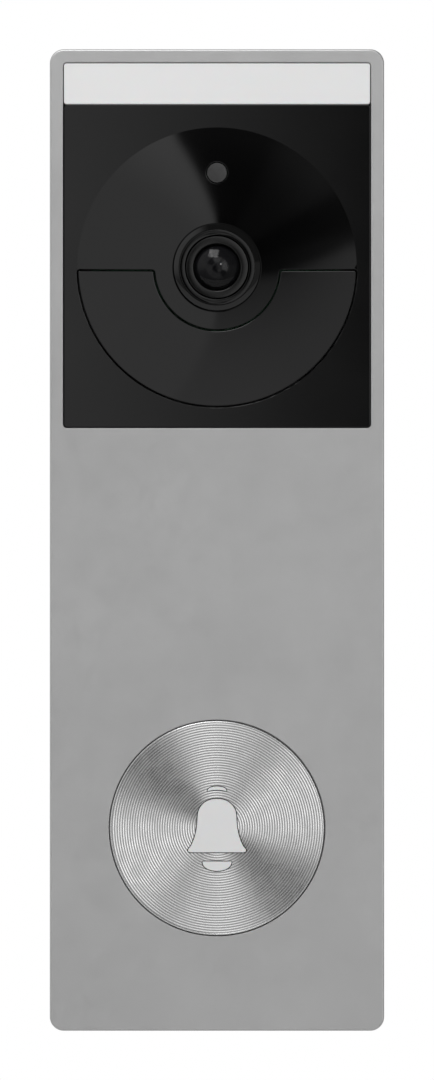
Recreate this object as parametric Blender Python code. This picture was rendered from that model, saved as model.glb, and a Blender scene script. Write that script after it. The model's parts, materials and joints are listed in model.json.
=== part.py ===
"""Wired video doorbell: a tall aluminium front on a plastic housing that hooks on a wall bracket.

All sizes are in metres. X runs to the right and Z runs up. Depth is measured out from the wall,
so a piece at depth d lies at Y = -d. The origin is on the wall, at the middle of the bracket.
"""

import math

import bmesh
import bpy

# Fits shared by all pieces
CLEARANCE = 0.0003
CURVE_SIDES = 64
CUT_MARGIN = 0.001

# Front plate
PLATE_WIDTH = 0.0620
PLATE_HEIGHT = 0.1820
PLATE_CORNER = 0.0026
PLATE_FRONT = 0.0250
PLATE_WALL = 0.0018
SKIRT_DEPTH = 0.0058
SKIRT_WALL = 0.0013
PLATE_EDGE_BEVEL = 0.0003

# Opening in the plate for the camera window and the light bar
OPENING_SIDE_BORDER = 0.00245
OPENING_TOP_BORDER = 0.00244
OPENING_CORNER = 0.0007
WINDOW_STEP = 0.00025
WINDOW_FLANGE = 0.0007
WINDOW_THICKNESS = 0.00285
WINDOW_GASKET = 0.0004
GASKET_SIDE = 0.0025
GASKET_END = 0.0015
LIGHT_BAR_HEIGHT = 0.0078

# Camera
DISH_MARGIN = 0.00265
DISH_TOP_MARGIN = 0.00426
DISH_BOTTOM_MARGIN = 0.00394
DISH_SLOPE = math.radians(6.6)
COLLAR_RADIUS = 0.00805
COLLAR_TOP_RADIUS = 0.0070
COLLAR_RISE = 0.0021
BEZEL_BORE = 0.00595
BEZEL_FLANGE = 0.0014
RETAINER_BORE = 0.0044
DOME_RADIUS = 0.0041
DOME_CURVE = 0.0065
DOME_SINK = 0.0008
DOME_RIM = 0.0009
BARREL_RADIUS = 0.0038
BARREL_LENGTH = 0.0063
BARREL_SOCKET = 0.0010
IMAGE_SENSOR_WIDTH = 0.0070
IMAGE_SENSOR_HEIGHT = 0.0062
IMAGE_SENSOR_THICKNESS = 0.0010
HOLDER_WIDTH = 0.0220
HOLDER_HEIGHT = 0.0130
HOLDER_TOWER_RADIUS = 0.0056
SHUTTLE_WIDTH = 0.0120
SHUTTLE_HEIGHT = 0.0070
SHUTTLE_THICKNESS = 0.0007
SHUTTLE_APERTURE = 0.0021
SHUTTLE_TRAVEL = 0.0054
SHUTTLE_ROOM = 0.0010
COIL_LENGTH = 0.0080
COIL_SIZE = 0.0040
COIL_THICKNESS = 0.0034

# Infrared window and light sensor
INFRARED_INNER_RADIUS = 0.0117
INFRARED_TOP_DROP = 0.00055
INFRARED_LED_INSET = 0.0074
INFRARED_LED_COUNT = 4
INFRARED_LED_SIZE = 0.0032
INFRARED_LED_HEIGHT = 0.0018
INFRARED_LED_ARC = math.radians(140)
SENSOR_INSET = 0.00835
SENSOR_RADIUS = 0.00175

# Bell button
BUTTON_RAISE = 0.0376
BUTTON_RADIUS = 0.01985
BUTTON_PROUD = 0.0003
BUTTON_FACE = 0.0018
BUTTON_SKIRT = 0.0023
BUTTON_FLANGE = 0.0015
BUTTON_FLANGE_THICKNESS = 0.0010
BUTTON_EDGE = 0.0002
BUTTON_WAY = 0.0010
CARRIER_THICKNESS = 0.0014
CARRIER_WINDOW = 0.0026
CARRIER_WINDOW_OFFSET = 0.0056
HUB_RADIUS = 0.0026
HUB_GAP = 0.0013
SEAL_SEAT = 0.0007
SEAL_INSET = 0.0004
GUIDE_RADIUS = 0.0088
GUIDE_THICKNESS = 0.0011
BELL_TOP = 0.0054
BELL_BOTTOM = -0.0045
BELL_BASE_WIDTH = 0.0108
BELL_SHOULDER_WIDTH = 0.0072
BELL_DOME_HEIGHT = 0.0028
CROWN_TOP = 0.0077
CROWN_WIDTH = 0.0035
CROWN_HEIGHT = 0.0008
CLAPPER_TOP = -0.0062
CLAPPER_WIDTH = 0.0054
CLAPPER_HEIGHT = 0.0017
PLUNGER_RADIUS = 0.0016
PLUNGER_LENGTH = 0.0023
SWITCH_SIZE = 0.0062
SWITCH_HEIGHT = 0.0026
SWITCH_FLOOR = 0.0004

# Housing
HOUSING_INSET = 0.0003
HOUSING_WALL = 0.0016
HOUSING_REAR = 0.0006
DECK_THICKNESS = 0.0016
CAMERA_LEDGE = 0.0024
UPPER_WALL = 0.0012
RIM_STEP = 0.0019
BOSS_RADIUS = 0.0028
BOSS_REAR = 0.0076
BOSS_SIDE_INSET = 0.0039
BOSS_END_INSET = 0.0111
BOSS_HOLE_SPARE = 0.0010
SCREW_SEAT = 0.0008
RAIL_WIDTH = 0.0016
RAIL_ROOT = 0.0008
RAIL_THICKNESS = 0.0012

# Rear cover
COVER_REAR = 0.0044
COVER_THICKNESS = 0.0018
GASKET_WIDTH = 0.0014
GASKET_THICKNESS = 0.0008
SCREW_HEAD_RADIUS = 0.0020
SCREW_HEAD_HEIGHT = 0.0006
SCREW_RADIUS = 0.0010
SCREW_END = 0.0125
COUNTERBORE_DEPTH = 0.0010

# Boards
BOARD_THICKNESS = 0.0011
MAIN_BOARD_REAR = 0.0090
MAIN_BOARD_THICKNESS = 0.0016
MAIN_BOARD_SIDE_GAP = 0.0014
MAIN_BOARD_TOP_GAP = 0.0051
MAIN_BOARD_TAIL = 0.0120
SHIELD_SIZE = 0.0240
SHIELD_CORNER = 0.0010
SHIELD_THICKNESS = 0.0023
SHIELD_Z = 0.0120
CAMERA_BOARD_WIDTH = 0.0240
CAMERA_BOARD_HEIGHT = 0.0220
CAMERA_BOARD_RAISE = 0.0030
BUTTON_BOARD_SIZE = 0.0340
BUTTON_BOARD_DROP = 0.0047
FRONT_BOARD_DROP = 0.0015
RING_BOARD_GAP = 0.0010
LED_SIZE = 0.0028
LED_HEIGHT = 0.0010
SENSOR_CHIP = 0.0020
LIGHT_BAR_LED_COUNT = 3
LIGHT_BAR_LED_PITCH = 0.0160
LIGHT_BAR_BOARD_INSET = 0.00455
LIGHT_BAR_BOARD_HEIGHT = 0.0050
BUTTON_LED_PITCH = 0.0110
ANTENNA_LENGTH = 0.0300
ANTENNA_WIDTH = 0.0070
ANTENNA_THICKNESS = 0.0008
ANTENNA_REAR = 0.0095

# Speaker and microphone
SPEAKER_SIDE_GAP = 0.0030
SPEAKER_DEPTH = 0.0098
SPEAKER_HEIGHT = 0.0076
SPEAKER_GAP = 0.0024
SPEAKER_WALL = 0.0008
SURROUND_WIDTH = 0.0014
SPEAKER_TRAVEL = 0.0003
CONE_THICKNESS = 0.0006
CONE_RAISE = 0.0018
COIL_WIDTH = 0.0150
COIL_DEPTH = 0.0042
COIL_WALL = 0.0006
COIL_HEIGHT = 0.0026
MAGNET_WIDTH = 0.0160
MAGNET_DEPTH = 0.0056
MAGNET_HEIGHT = 0.0052
SPEAKER_SLOT_COUNT = 7
SPEAKER_SLOT_PITCH = 0.0046
SPEAKER_SLOT_WIDTH = 0.0022
SPEAKER_SLOT_LENGTH = 0.0068
MICROPHONE_DEPTH = 0.0135
MICROPHONE_HOLE = 0.0006
BOOT_RADIUS = 0.0022
BOOT_HEIGHT = 0.0022
MICROPHONE_SIZE = 0.0036
MICROPHONE_HEIGHT = 0.0012

# Terminals and rear controls
TERMINAL_Z = -0.0280
TERMINAL_WIDTH = 0.0160
TERMINAL_HEIGHT = 0.0100
TERMINAL_REAR = 0.0046
TERMINAL_PITCH = 0.0080
TERMINAL_SCREW_RADIUS = 0.0028
TERMINAL_SCREW_HEAD = 0.0009
TERMINAL_SCREW_SHANK = 0.0014
TERMINAL_FLOOR = 0.0006
REAR_CONTROL_INSET = 0.0050
RESET_RADIUS = 0.0018
RESET_COLLAR = 0.0008
RESET_COLLAR_THICKNESS = 0.0006
RESET_TRAVEL = 0.0005
TAMPER_RADIUS = 0.0015
TAMPER_COLLAR = 0.0009
TAMPER_COLLAR_THICKNESS = 0.0005
TAMPER_TRAVEL = 0.0008
REAR_SWITCH_SIZE = 0.0042

# Wall bracket
BRACKET_SIDE_GAP = 0.0041
BRACKET_END_GAP = 0.0016
BRACKET_CORNER = 0.0030
BRACKET_THICKNESS = 0.0016
WIRE_OPENING_WIDTH = 0.0220
WIRE_OPENING_HEIGHT = 0.0340
WALL_SCREW_INSET = 0.0175
WALL_SCREW_SLOT = 0.0044
WALL_SCREW_SLOT_LENGTH = 0.0080
HOOK_X = 0.0160
HOOK_Z = 0.0480
HOOK_WIDTH = 0.0060
HOOK_THICKNESS = 0.0008
HOOK_NECK = 0.0018
HOOK_TAB = 0.0028
CATCH_BAR = 0.0020
CATCH_POST = 0.0016
LIFT_TRAVEL = 0.0060
TONGUE_WIDTH = 0.0070
TONGUE_HEIGHT = 0.0056
TONGUE_RAISE = 0.0003
POCKET_WALL = 0.0012
SECURITY_SCREW_RADIUS = 0.00125
SECURITY_HEAD_RADIUS = 0.0020
SECURITY_HEAD_HEIGHT = 0.0008
SECURITY_HEAD_INSET = 0.0002
SECURITY_SCREW_LENGTH = 0.0126

# Finishes: colour, roughness, metallic
ALUMINIUM = ((0.37, 0.37, 0.36), 0.38, 1.0)
TURNED_ALUMINIUM = ((0.46, 0.46, 0.45), 0.25, 1.0)
GLOSS_BLACK = ((0.012, 0.012, 0.013), 0.08, 0.0)
SMOKED_BLACK = ((0.008, 0.007, 0.008), 0.12, 0.0)
MATT_BLACK = ((0.02, 0.02, 0.021), 0.55, 0.0)
OPAL = ((0.82, 0.82, 0.80), 0.35, 0.0)
GLASS = ((0.03, 0.03, 0.035), 0.02, 0.0)
RUBBER = ((0.03, 0.03, 0.03), 0.85, 0.0)
BOARD_GREEN = ((0.02, 0.10, 0.05), 0.45, 0.0)
STEEL = ((0.55, 0.55, 0.53), 0.32, 1.0)
BRASS = ((0.60, 0.45, 0.18), 0.30, 1.0)
COPPER = ((0.60, 0.27, 0.13), 0.35, 1.0)
LED_WHITE = ((0.80, 0.78, 0.60), 0.30, 0.0)
SENSOR_BLUE = ((0.05, 0.06, 0.12), 0.10, 0.0)
PAPER_GREY = ((0.16, 0.16, 0.16), 0.80, 0.0)
MARKED_RED = ((0.45, 0.05, 0.04), 0.50, 0.0)

# Places worked out from the sizes above
PLATE_INNER = PLATE_FRONT - PLATE_WALL
PLATE_REAR = PLATE_FRONT - SKIRT_DEPTH
CAVITY_WIDTH = PLATE_WIDTH - 2 * SKIRT_WALL
CAVITY_HEIGHT = PLATE_HEIGHT - 2 * SKIRT_WALL
OPENING_WIDTH = PLATE_WIDTH - 2 * OPENING_SIDE_BORDER
OPENING_TOP = PLATE_HEIGHT / 2 - OPENING_TOP_BORDER
LIGHT_BAR_BOTTOM = OPENING_TOP - LIGHT_BAR_HEIGHT
LIGHT_BAR_Z = LIGHT_BAR_BOTTOM + LIGHT_BAR_HEIGHT / 2
DISH_RADIUS = OPENING_WIDTH / 2 - DISH_MARGIN
LENS_Z = LIGHT_BAR_BOTTOM - DISH_TOP_MARGIN - DISH_RADIUS
OPENING_BOTTOM = LENS_Z - DISH_RADIUS - DISH_BOTTOM_MARGIN
OPENING_HEIGHT = OPENING_TOP - OPENING_BOTTOM
OPENING_Z = (OPENING_TOP + OPENING_BOTTOM) / 2
WINDOW_FRONT = PLATE_FRONT - WINDOW_STEP
WINDOW_REAR = WINDOW_FRONT - WINDOW_THICKNESS
WINDOW_FLANGE_WIDTH = OPENING_WIDTH + 2 * WINDOW_FLANGE
FLANGE_FRONT = PLATE_INNER - CLEARANCE
LIGHT_BAR_BOARD_WIDTH = OPENING_WIDTH - 2 * LIGHT_BAR_BOARD_INSET
DISH_DROP = (DISH_RADIUS - COLLAR_RADIUS) * math.tan(DISH_SLOPE)
DISH_CENTRE = WINDOW_FRONT - DISH_DROP
INFRARED_LED_RING = DISH_RADIUS - INFRARED_LED_INSET
SENSOR_RAISE = DISH_RADIUS - SENSOR_INSET
BUTTON_Z = BUTTON_RAISE - PLATE_HEIGHT / 2
BUTTON_FRONT = PLATE_FRONT + BUTTON_PROUD
BUTTON_HOLE = BUTTON_RADIUS + CLEARANCE
BUTTON_BORE = BUTTON_RADIUS - BUTTON_SKIRT
HOUSING_WIDTH = PLATE_WIDTH - 2 * HOUSING_INSET
HOUSING_HEIGHT = PLATE_HEIGHT - 2 * HOUSING_INSET
HOUSING_TOP = PLATE_REAR - CLEARANCE
RIM_TOP = HOUSING_TOP - RIM_STEP
INNER_WIDTH = HOUSING_WIDTH - 2 * HOUSING_WALL
INNER_HEIGHT = HOUSING_HEIGHT - 2 * HOUSING_WALL
UPPER_WIDTH = CAVITY_WIDTH - 2 * CLEARANCE
UPPER_HEIGHT = CAVITY_HEIGHT - 2 * CLEARANCE
UPPER_CORNER = PLATE_CORNER - SKIRT_WALL - CLEARANCE
DECK_FRONT = WINDOW_REAR - WINDOW_GASKET - 2 * CLEARANCE
DECK_REAR = DECK_FRONT - DECK_THICKNESS
NECK_WIDTH = UPPER_WIDTH - 2 * UPPER_WALL
NECK_HEIGHT = UPPER_HEIGHT - 2 * UPPER_WALL
FLOOR_Z = -INNER_HEIGHT / 2
BOSS_X = INNER_WIDTH / 2 - BOSS_SIDE_INSET
BOSS_Z = INNER_HEIGHT / 2 - BOSS_END_INSET
COVER_FRONT = COVER_REAR + COVER_THICKNESS
FRONT_BOARD_REAR = DECK_REAR - FRONT_BOARD_DROP
FRONT_BOARD_FRONT = FRONT_BOARD_REAR + BOARD_THICKNESS
BUTTON_BOARD_REAR = DECK_REAR - BUTTON_BOARD_DROP
BUTTON_BOARD_FRONT = BUTTON_BOARD_REAR + BOARD_THICKNESS
BARREL_REAR = DISH_CENTRE + COLLAR_RISE - DOME_SINK - DOME_RIM - CLEARANCE - BARREL_LENGTH
SHUTTLE_REAR = BARREL_REAR - 2 * CLEARANCE - SHUTTLE_THICKNESS
CAMERA_BOARD_FRONT = SHUTTLE_REAR - IMAGE_SENSOR_THICKNESS - 3 * CLEARANCE
CAMERA_BOARD_REAR = CAMERA_BOARD_FRONT - BOARD_THICKNESS
MAIN_BOARD_FRONT = MAIN_BOARD_REAR + MAIN_BOARD_THICKNESS
MAIN_BOARD_WIDTH = 2 * (BOSS_X - BOSS_RADIUS - MAIN_BOARD_SIDE_GAP)
MAIN_BOARD_TOP = INNER_HEIGHT / 2 - MAIN_BOARD_TOP_GAP
MAIN_BOARD_BOTTOM = TERMINAL_Z - MAIN_BOARD_TAIL
RESET_X = MAIN_BOARD_WIDTH / 2 - REAR_CONTROL_INSET
TAMPER_X = -RESET_X
MICROPHONE_X = BOSS_X
SPEAKER_WIDTH = 2 * (MICROPHONE_X - BOOT_RADIUS - SPEAKER_SIDE_GAP)
SPEAKER_REAR = COVER_FRONT + SPEAKER_GAP
SPEAKER_MID = SPEAKER_REAR + SPEAKER_DEPTH / 2
SPEAKER_BOTTOM = CLEARANCE - NECK_HEIGHT / 2
BRACKET_WIDTH = INNER_WIDTH - 2 * BRACKET_SIDE_GAP
BRACKET_HEIGHT = INNER_HEIGHT - 2 * (LIFT_TRAVEL + BRACKET_END_GAP)
WALL_SCREW_Z = BRACKET_HEIGHT / 2 - WALL_SCREW_INSET
TONGUE_BOTTOM = TONGUE_RAISE - BRACKET_HEIGHT / 2
TONGUE_TOP = TONGUE_BOTTOM + TONGUE_HEIGHT
TONGUE_DEPTH = COVER_FRONT
TONGUE_SCREW_DEPTH = (BRACKET_THICKNESS + TONGUE_DEPTH) / 2
SCREW_SEAT_TOP = FLOOR_Z + SCREW_SEAT
SECURITY_HEAD_BOTTOM = SECURITY_HEAD_INSET - HOUSING_HEIGHT / 2
THROUGH = (-CUT_MARGIN, 2 * PLATE_FRONT)


# Outlines: lists of (x, z) or (x, depth) points, anticlockwise as seen from the front

def rectangle(width, height, x=0.0, z=0.0):
    return [
        (x - width / 2, z - height / 2),
        (x + width / 2, z - height / 2),
        (x + width / 2, z + height / 2),
        (x - width / 2, z + height / 2),
    ]


def rounded(width, height, radius, x=0.0, z=0.0, steps=6):
    points = []
    corners = ((1, -1, -90), (1, 1, 0), (-1, 1, 90), (-1, -1, 180))
    for side, end, start in corners:
        centre_x = x + side * (width / 2 - radius)
        centre_z = z + end * (height / 2 - radius)
        for step in range(steps + 1):
            angle = math.radians(start + 90 * step / steps)
            points.append((centre_x + radius * math.cos(angle), centre_z + radius * math.sin(angle)))
    return points


def without_repeats(outline):
    """Drops a point that lies on the one before it, as where two round corners meet."""
    kept = []
    for index, point in enumerate(outline):
        if math.dist(point, outline[index - 1]) > 1e-7:
            kept.append(point)
    return kept


def circle(radius, sides=CURVE_SIDES, x=0.0, z=0.0):
    turns = [2 * math.pi * step / sides for step in range(sides)]
    return [(x + radius * math.cos(turn), z + radius * math.sin(turn)) for turn in turns]


def segment(width, height, flat_z, upward, grow=0.0, steps=8):
    """A slice of a circle: flat on one side and round on the other."""
    half = width / 2 + grow
    rise = height + 2 * grow
    radius = (half * half + rise * rise) / (2 * rise)
    reach = math.asin(min(1.0, half / radius))
    side = 1 if upward else -1
    base = flat_z - side * grow
    points = []
    for step in range(steps + 1):
        angle = reach - 2 * reach * step / steps
        points.append((radius * math.sin(angle), base + side * (radius * math.cos(angle) - radius + rise)))
    return points if upward else points[::-1]


def bell_outline(grow=0.0, steps=8):
    """The bell: a domed top, then sides that flare out to the lip."""
    shoulder = BELL_SHOULDER_WIDTH / 2 + grow
    lip = BELL_BASE_WIDTH / 2 + grow
    top = BELL_TOP + grow
    bottom = BELL_BOTTOM - grow
    dome_base = BELL_TOP - BELL_DOME_HEIGHT
    right = [(lip, bottom)]
    for step in range(1, steps):
        share = step / steps
        flare = 1 - share
        width = shoulder + (lip - shoulder) * (0.5 * flare + 0.5 * flare**3)
        right.append((width, bottom + (dome_base - bottom) * (0.15 + 0.85 * share)))
    for step in range(steps):
        angle = math.pi / 2 * step / steps
        right.append((shoulder * math.cos(angle), dome_base + (top - dome_base) * math.sin(angle)))
    left = [(-x, z) for x, z in reversed(right)]
    return right + [(0.0, top)] + left


# Solids

def new_piece(name, points, faces, location, look=None):
    """One closed mesh with its faces turned outwards."""
    mesh = bpy.data.meshes.new(name)
    mesh.from_pydata(points, [], faces)
    shape = bmesh.new()
    shape.from_mesh(mesh)
    bmesh.ops.recalc_face_normals(shape, faces=shape.faces)
    shape.to_mesh(mesh)
    shape.free()
    piece = bpy.data.objects.new(name, mesh)
    piece.location = location
    bpy.context.scene.collection.objects.link(piece)
    if look:
        paint(piece, look)
    return piece


def paint(piece, look):
    colour, roughness, metallic = look
    material = bpy.data.materials.new(piece.name)
    material.use_nodes = True
    shader = material.node_tree.nodes["Principled BSDF"]
    shader.inputs["Base Color"].default_value = (*colour, 1.0)
    shader.inputs["Roughness"].default_value = roughness
    shader.inputs["Metallic"].default_value = metallic
    material.diffuse_color = (*colour, 1.0)
    piece.data.materials.append(material)


def prism(name, outline, low, high, look=None, at=(0.0, 0.0)):
    """An outline in (x, z) pushed out from depth low to depth high."""
    outline = without_repeats(outline)
    count = len(outline)
    back = [(x, 0.0, z) for x, z in outline]
    front = [(x, low - high, z) for x, z in outline]
    sides = [(i, (i + 1) % count, count + (i + 1) % count, count + i) for i in range(count)]
    faces = [tuple(reversed(range(count))), tuple(range(count, 2 * count))]
    return new_piece(name, back + front, faces + sides, (at[0], -low, at[1]), look)


def upright(name, outline, low, high, look=None, at=(0.0, 0.0)):
    """An outline in (x, depth) pushed up from height low to height high."""
    outline = without_repeats(outline)
    count = len(outline)
    bottom = [(x, -depth, 0.0) for x, depth in outline]
    top = [(x, -depth, high - low) for x, depth in outline]
    sides = [(i, count + i, count + (i + 1) % count, (i + 1) % count) for i in range(count)]
    faces = [tuple(range(count)), tuple(reversed(range(count, 2 * count)))]
    return new_piece(name, bottom + top, faces + sides, (at[0], -at[1], low), look)


def sideways(name, outline, width, look=None, at=(0.0, 0.0)):
    """An outline in (depth, z) made as wide as given, half to each side of x."""
    count = len(outline)
    left = [(-width / 2, -depth, z) for depth, z in outline]
    right = [(width / 2, -depth, z) for depth, z in outline]
    sides = [(i, (i + 1) % count, count + (i + 1) % count, count + i) for i in range(count)]
    faces = [tuple(reversed(range(count))), tuple(range(count, 2 * count))]
    return new_piece(name, left + right, faces + sides, (at[0], 0.0, at[1]), look)


def turned(name, profile, look=None, at=(0.0, 0.0), sides=CURVE_SIDES):
    """A profile of (radius, depth) points spun about a line square to the wall.

    The profile runs anticlockwise with radius to the right and depth upwards.
    """
    base = min(depth for radius, depth in profile)
    points = []
    rows = []
    for radius, depth in profile:
        if radius == 0.0:
            rows.append([len(points)] * sides)
            points.append((0.0, base - depth, 0.0))
            continue
        rows.append(list(range(len(points), len(points) + sides)))
        for x, z in circle(radius, sides):
            points.append((x, base - depth, z))
    faces = []
    for row in range(len(rows)):
        near, far = rows[row], rows[(row + 1) % len(rows)]
        if near[0] == near[1] and far[0] == far[1]:
            continue
        for i in range(sides):
            j = (i + 1) % sides
            ring = [near[i], near[j], far[j], far[i]]
            faces.append(tuple(dict.fromkeys(ring)))
    return new_piece(name, points, faces, (at[0], -base, at[1]), look)


def disc(name, radius, low, high, look=None, at=(0.0, 0.0), sides=CURVE_SIDES):
    return prism(name, circle(radius, sides), low, high, look, at)


def combine(piece, tool, operation):
    """Joins, cuts or trims a piece with a hidden tool, which then moves with it."""
    change = piece.modifiers.new(tool.name, "BOOLEAN")
    change.operation = operation
    change.solver = "EXACT"
    change.object = tool
    tool.hide_render = True
    tool.display_type = "WIRE"
    tool.location = tool.location - piece.location
    tool.parent = piece
    return piece


def cut(piece, *tools):
    for tool in tools:
        combine(piece, tool, "DIFFERENCE")
    return piece


def join(piece, *tools):
    for tool in tools:
        combine(piece, tool, "UNION")
    return piece


def carrier(name, x=0.0, depth=0.0, z=0.0, parent=None):
    """An empty on a joint's axis, which carries the pieces that move together."""
    empty = bpy.data.objects.new(name, None)
    empty.empty_display_size = 0.005
    empty.location = (x, -depth, z)
    empty.parent = parent
    bpy.context.scene.collection.objects.link(empty)
    return empty


def carry(empty, *pieces):
    """Parents pieces to an empty without moving them."""
    for piece in pieces:
        piece.location = piece.location - empty.location
        piece.parent = empty


def smooth_edges():
    for item in bpy.data.objects:
        if item.type == "MESH":
            item.data.shade_smooth()
            item.data.set_sharp_from_angle(angle=math.radians(30))


# Wall bracket

def make_bracket():
    bracket = prism(
        "wall_bracket",
        rounded(BRACKET_WIDTH, BRACKET_HEIGHT, BRACKET_CORNER),
        0.0,
        BRACKET_THICKNESS,
        STEEL,
    )
    wires = rounded(WIRE_OPENING_WIDTH, WIRE_OPENING_HEIGHT, BRACKET_CORNER)
    cut(bracket, prism("wire_opening_cutter", wires, *THROUGH, at=(0.0, TERMINAL_Z)))
    slot_round = WALL_SCREW_SLOT / 2
    level = rounded(WALL_SCREW_SLOT_LENGTH, WALL_SCREW_SLOT, slot_round)
    plumb = rounded(WALL_SCREW_SLOT, WALL_SCREW_SLOT_LENGTH, slot_round)
    cut(bracket, prism("upper_screw_slot_cutter", level, *THROUGH, at=(0.0, WALL_SCREW_Z)))
    cut(bracket, prism("lower_screw_slot_cutter", plumb, *THROUGH, at=(0.0, -WALL_SCREW_Z)))
    tab_front = COVER_REAR - CLEARANCE
    tab_rear = tab_front - HOOK_THICKNESS
    for side in (-1, 1):
        for end in (-1, 1):
            x = side * HOOK_X
            neck_z = end * HOOK_Z
            label = f"hook_{'left' if side < 0 else 'right'}_{'lower' if end < 0 else 'upper'}"
            hook = [
                (BRACKET_THICKNESS / 2, -HOOK_NECK / 2),
                (tab_front, -HOOK_NECK / 2),
                (tab_front, HOOK_NECK / 2 + HOOK_TAB),
                (tab_rear, HOOK_NECK / 2 + HOOK_TAB),
                (tab_rear, HOOK_NECK / 2),
                (BRACKET_THICKNESS / 2, HOOK_NECK / 2),
            ]
            join(bracket, sideways(label, hook, HOOK_WIDTH, at=(x, neck_z)))
    tongue = rectangle(TONGUE_WIDTH, TONGUE_HEIGHT)
    tongue_z = TONGUE_BOTTOM + TONGUE_HEIGHT / 2
    join(bracket, prism("tongue", tongue, BRACKET_THICKNESS / 2, TONGUE_DEPTH, at=(0.0, tongue_z)))
    bore = circle(SECURITY_SCREW_RADIUS + CLEARANCE, 24)
    low, high = TONGUE_BOTTOM - CUT_MARGIN, TONGUE_TOP + CUT_MARGIN
    cut(bracket, upright("tongue_bore_cutter", bore, low, high, at=(0.0, TONGUE_SCREW_DEPTH)))
    return bracket


# Front plate, window, light bar

def make_front_plate():
    plate = prism(
        "front_plate",
        rounded(PLATE_WIDTH, PLATE_HEIGHT, PLATE_CORNER),
        PLATE_REAR,
        PLATE_FRONT,
        ALUMINIUM,
    )
    bevel = plate.modifiers.new("edge", "BEVEL")
    bevel.width = PLATE_EDGE_BEVEL
    bevel.segments = 2
    bevel.limit_method = "ANGLE"
    bevel.angle_limit = math.radians(60)
    inner = rounded(CAVITY_WIDTH, CAVITY_HEIGHT, PLATE_CORNER - SKIRT_WALL)
    cut(plate, prism("plate_cavity_cutter", inner, PLATE_REAR - CUT_MARGIN, PLATE_INNER))
    opening = rounded(OPENING_WIDTH, OPENING_HEIGHT, OPENING_CORNER, steps=4)
    cut(plate, prism("window_opening_cutter", opening, *THROUGH, at=(0.0, OPENING_Z)))
    cut(plate, disc("button_hole_cutter", BUTTON_HOLE, *THROUGH, at=(0.0, BUTTON_Z)))
    return plate


def stepped_panel(name, bottom, top, look):
    """A panel that fills the opening and has a flange behind the plate at its sides."""
    land_width = OPENING_WIDTH - 2 * CLEARANCE
    at = (0.0, (bottom + top) / 2)
    height = top - bottom
    land = rounded(land_width, height, OPENING_CORNER - CLEARANCE, steps=3)
    panel = prism(name, land, WINDOW_REAR, WINDOW_FRONT, look, at)
    flange = rectangle(WINDOW_FLANGE_WIDTH, height - 2 * CLEARANCE)
    return join(panel, prism(name + "_flange", flange, WINDOW_REAR, FLANGE_FRONT, at=at))


def dish_profile(inner, outer, floor):
    """The dish as a cutter: its cone from the inner radius to the outer one, open to the front."""
    top = WINDOW_FRONT + CUT_MARGIN
    rise = math.tan(DISH_SLOPE)
    inner_depth = DISH_CENTRE + (inner - COLLAR_RADIUS) * rise
    outer_depth = DISH_CENTRE + (outer - COLLAR_RADIUS) * rise
    if floor is None:
        return [(0.0, inner_depth), (inner, inner_depth), (outer, outer_depth), (outer, top), (0.0, top)]
    return [(inner, floor), (outer, floor), (outer, outer_depth), (inner, inner_depth)]


def below_lens(name, gap):
    """A block that keeps only what lies under the infrared window's straight top edge."""
    top = LENS_Z - INFRARED_TOP_DROP - gap
    reach = 2 * DISH_RADIUS
    return prism(name, rectangle(2 * reach, reach), *THROUGH, at=(0.0, top - reach / 2))


def make_window():
    bottom = OPENING_BOTTOM + CLEARANCE
    top = LIGHT_BAR_BOTTOM - CLEARANCE
    panel = stepped_panel("window_panel", bottom, top, GLOSS_BLACK)
    at = (0.0, LENS_Z)
    cut(panel, turned("dish_cutter", dish_profile(COLLAR_RADIUS, DISH_RADIUS, None), at=at))
    cut(panel, disc("lens_hole_cutter", COLLAR_RADIUS + CLEARANCE, *THROUGH, at=at, sides=48))
    half_ring = [
        (INFRARED_INNER_RADIUS, WINDOW_REAR - CUT_MARGIN),
        (DISH_RADIUS, WINDOW_REAR - CUT_MARGIN),
        (DISH_RADIUS, WINDOW_FRONT + CUT_MARGIN),
        (INFRARED_INNER_RADIUS, WINDOW_FRONT + CUT_MARGIN),
    ]
    pocket = turned("infrared_pocket_cutter", half_ring, at=at)
    combine(pocket, below_lens("pocket_limit", 0.0), "INTERSECT")
    cut(panel, pocket)
    sensor_at = (0.0, LENS_Z + SENSOR_RAISE)
    sensor_hole = SENSOR_RADIUS + CLEARANCE
    cut(panel, disc("sensor_hole_cutter", sensor_hole, *THROUGH, at=sensor_at, sides=24))

    inner = INFRARED_INNER_RADIUS + CLEARANCE
    outer = DISH_RADIUS - CLEARANCE
    infrared = turned("infrared_window", dish_profile(inner, outer, WINDOW_REAR), SMOKED_BLACK, at)
    combine(infrared, below_lens("infrared_limit", CLEARANCE), "INTERSECT")

    sensor_front = DISH_CENTRE + (SENSOR_RAISE - COLLAR_RADIUS) * math.tan(DISH_SLOPE)
    pipe_rear = FRONT_BOARD_FRONT + CLEARANCE + LED_HEIGHT + CLEARANCE
    pipe = disc("light_sensor_window", SENSOR_RADIUS, pipe_rear, sensor_front, SMOKED_BLACK, sensor_at, 24)
    bar = stepped_panel("light_bar_diffuser", LIGHT_BAR_BOTTOM, OPENING_TOP - CLEARANCE, OPAL)

    gasket_front = WINDOW_REAR - CLEARANCE
    gasket_at = (0.0, OPENING_Z)
    gasket = prism(
        "window_gasket",
        rectangle(WINDOW_FLANGE_WIDTH, OPENING_HEIGHT),
        DECK_FRONT + CLEARANCE,
        gasket_front,
        RUBBER,
        gasket_at,
    )
    hollow = rectangle(WINDOW_FLANGE_WIDTH - 2 * GASKET_SIDE, OPENING_HEIGHT - 2 * GASKET_END)
    cut(gasket, prism("window_gasket_cutter", hollow, *THROUGH, at=gasket_at))
    return [panel, infrared, pipe, bar, gasket]


# Camera

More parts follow.
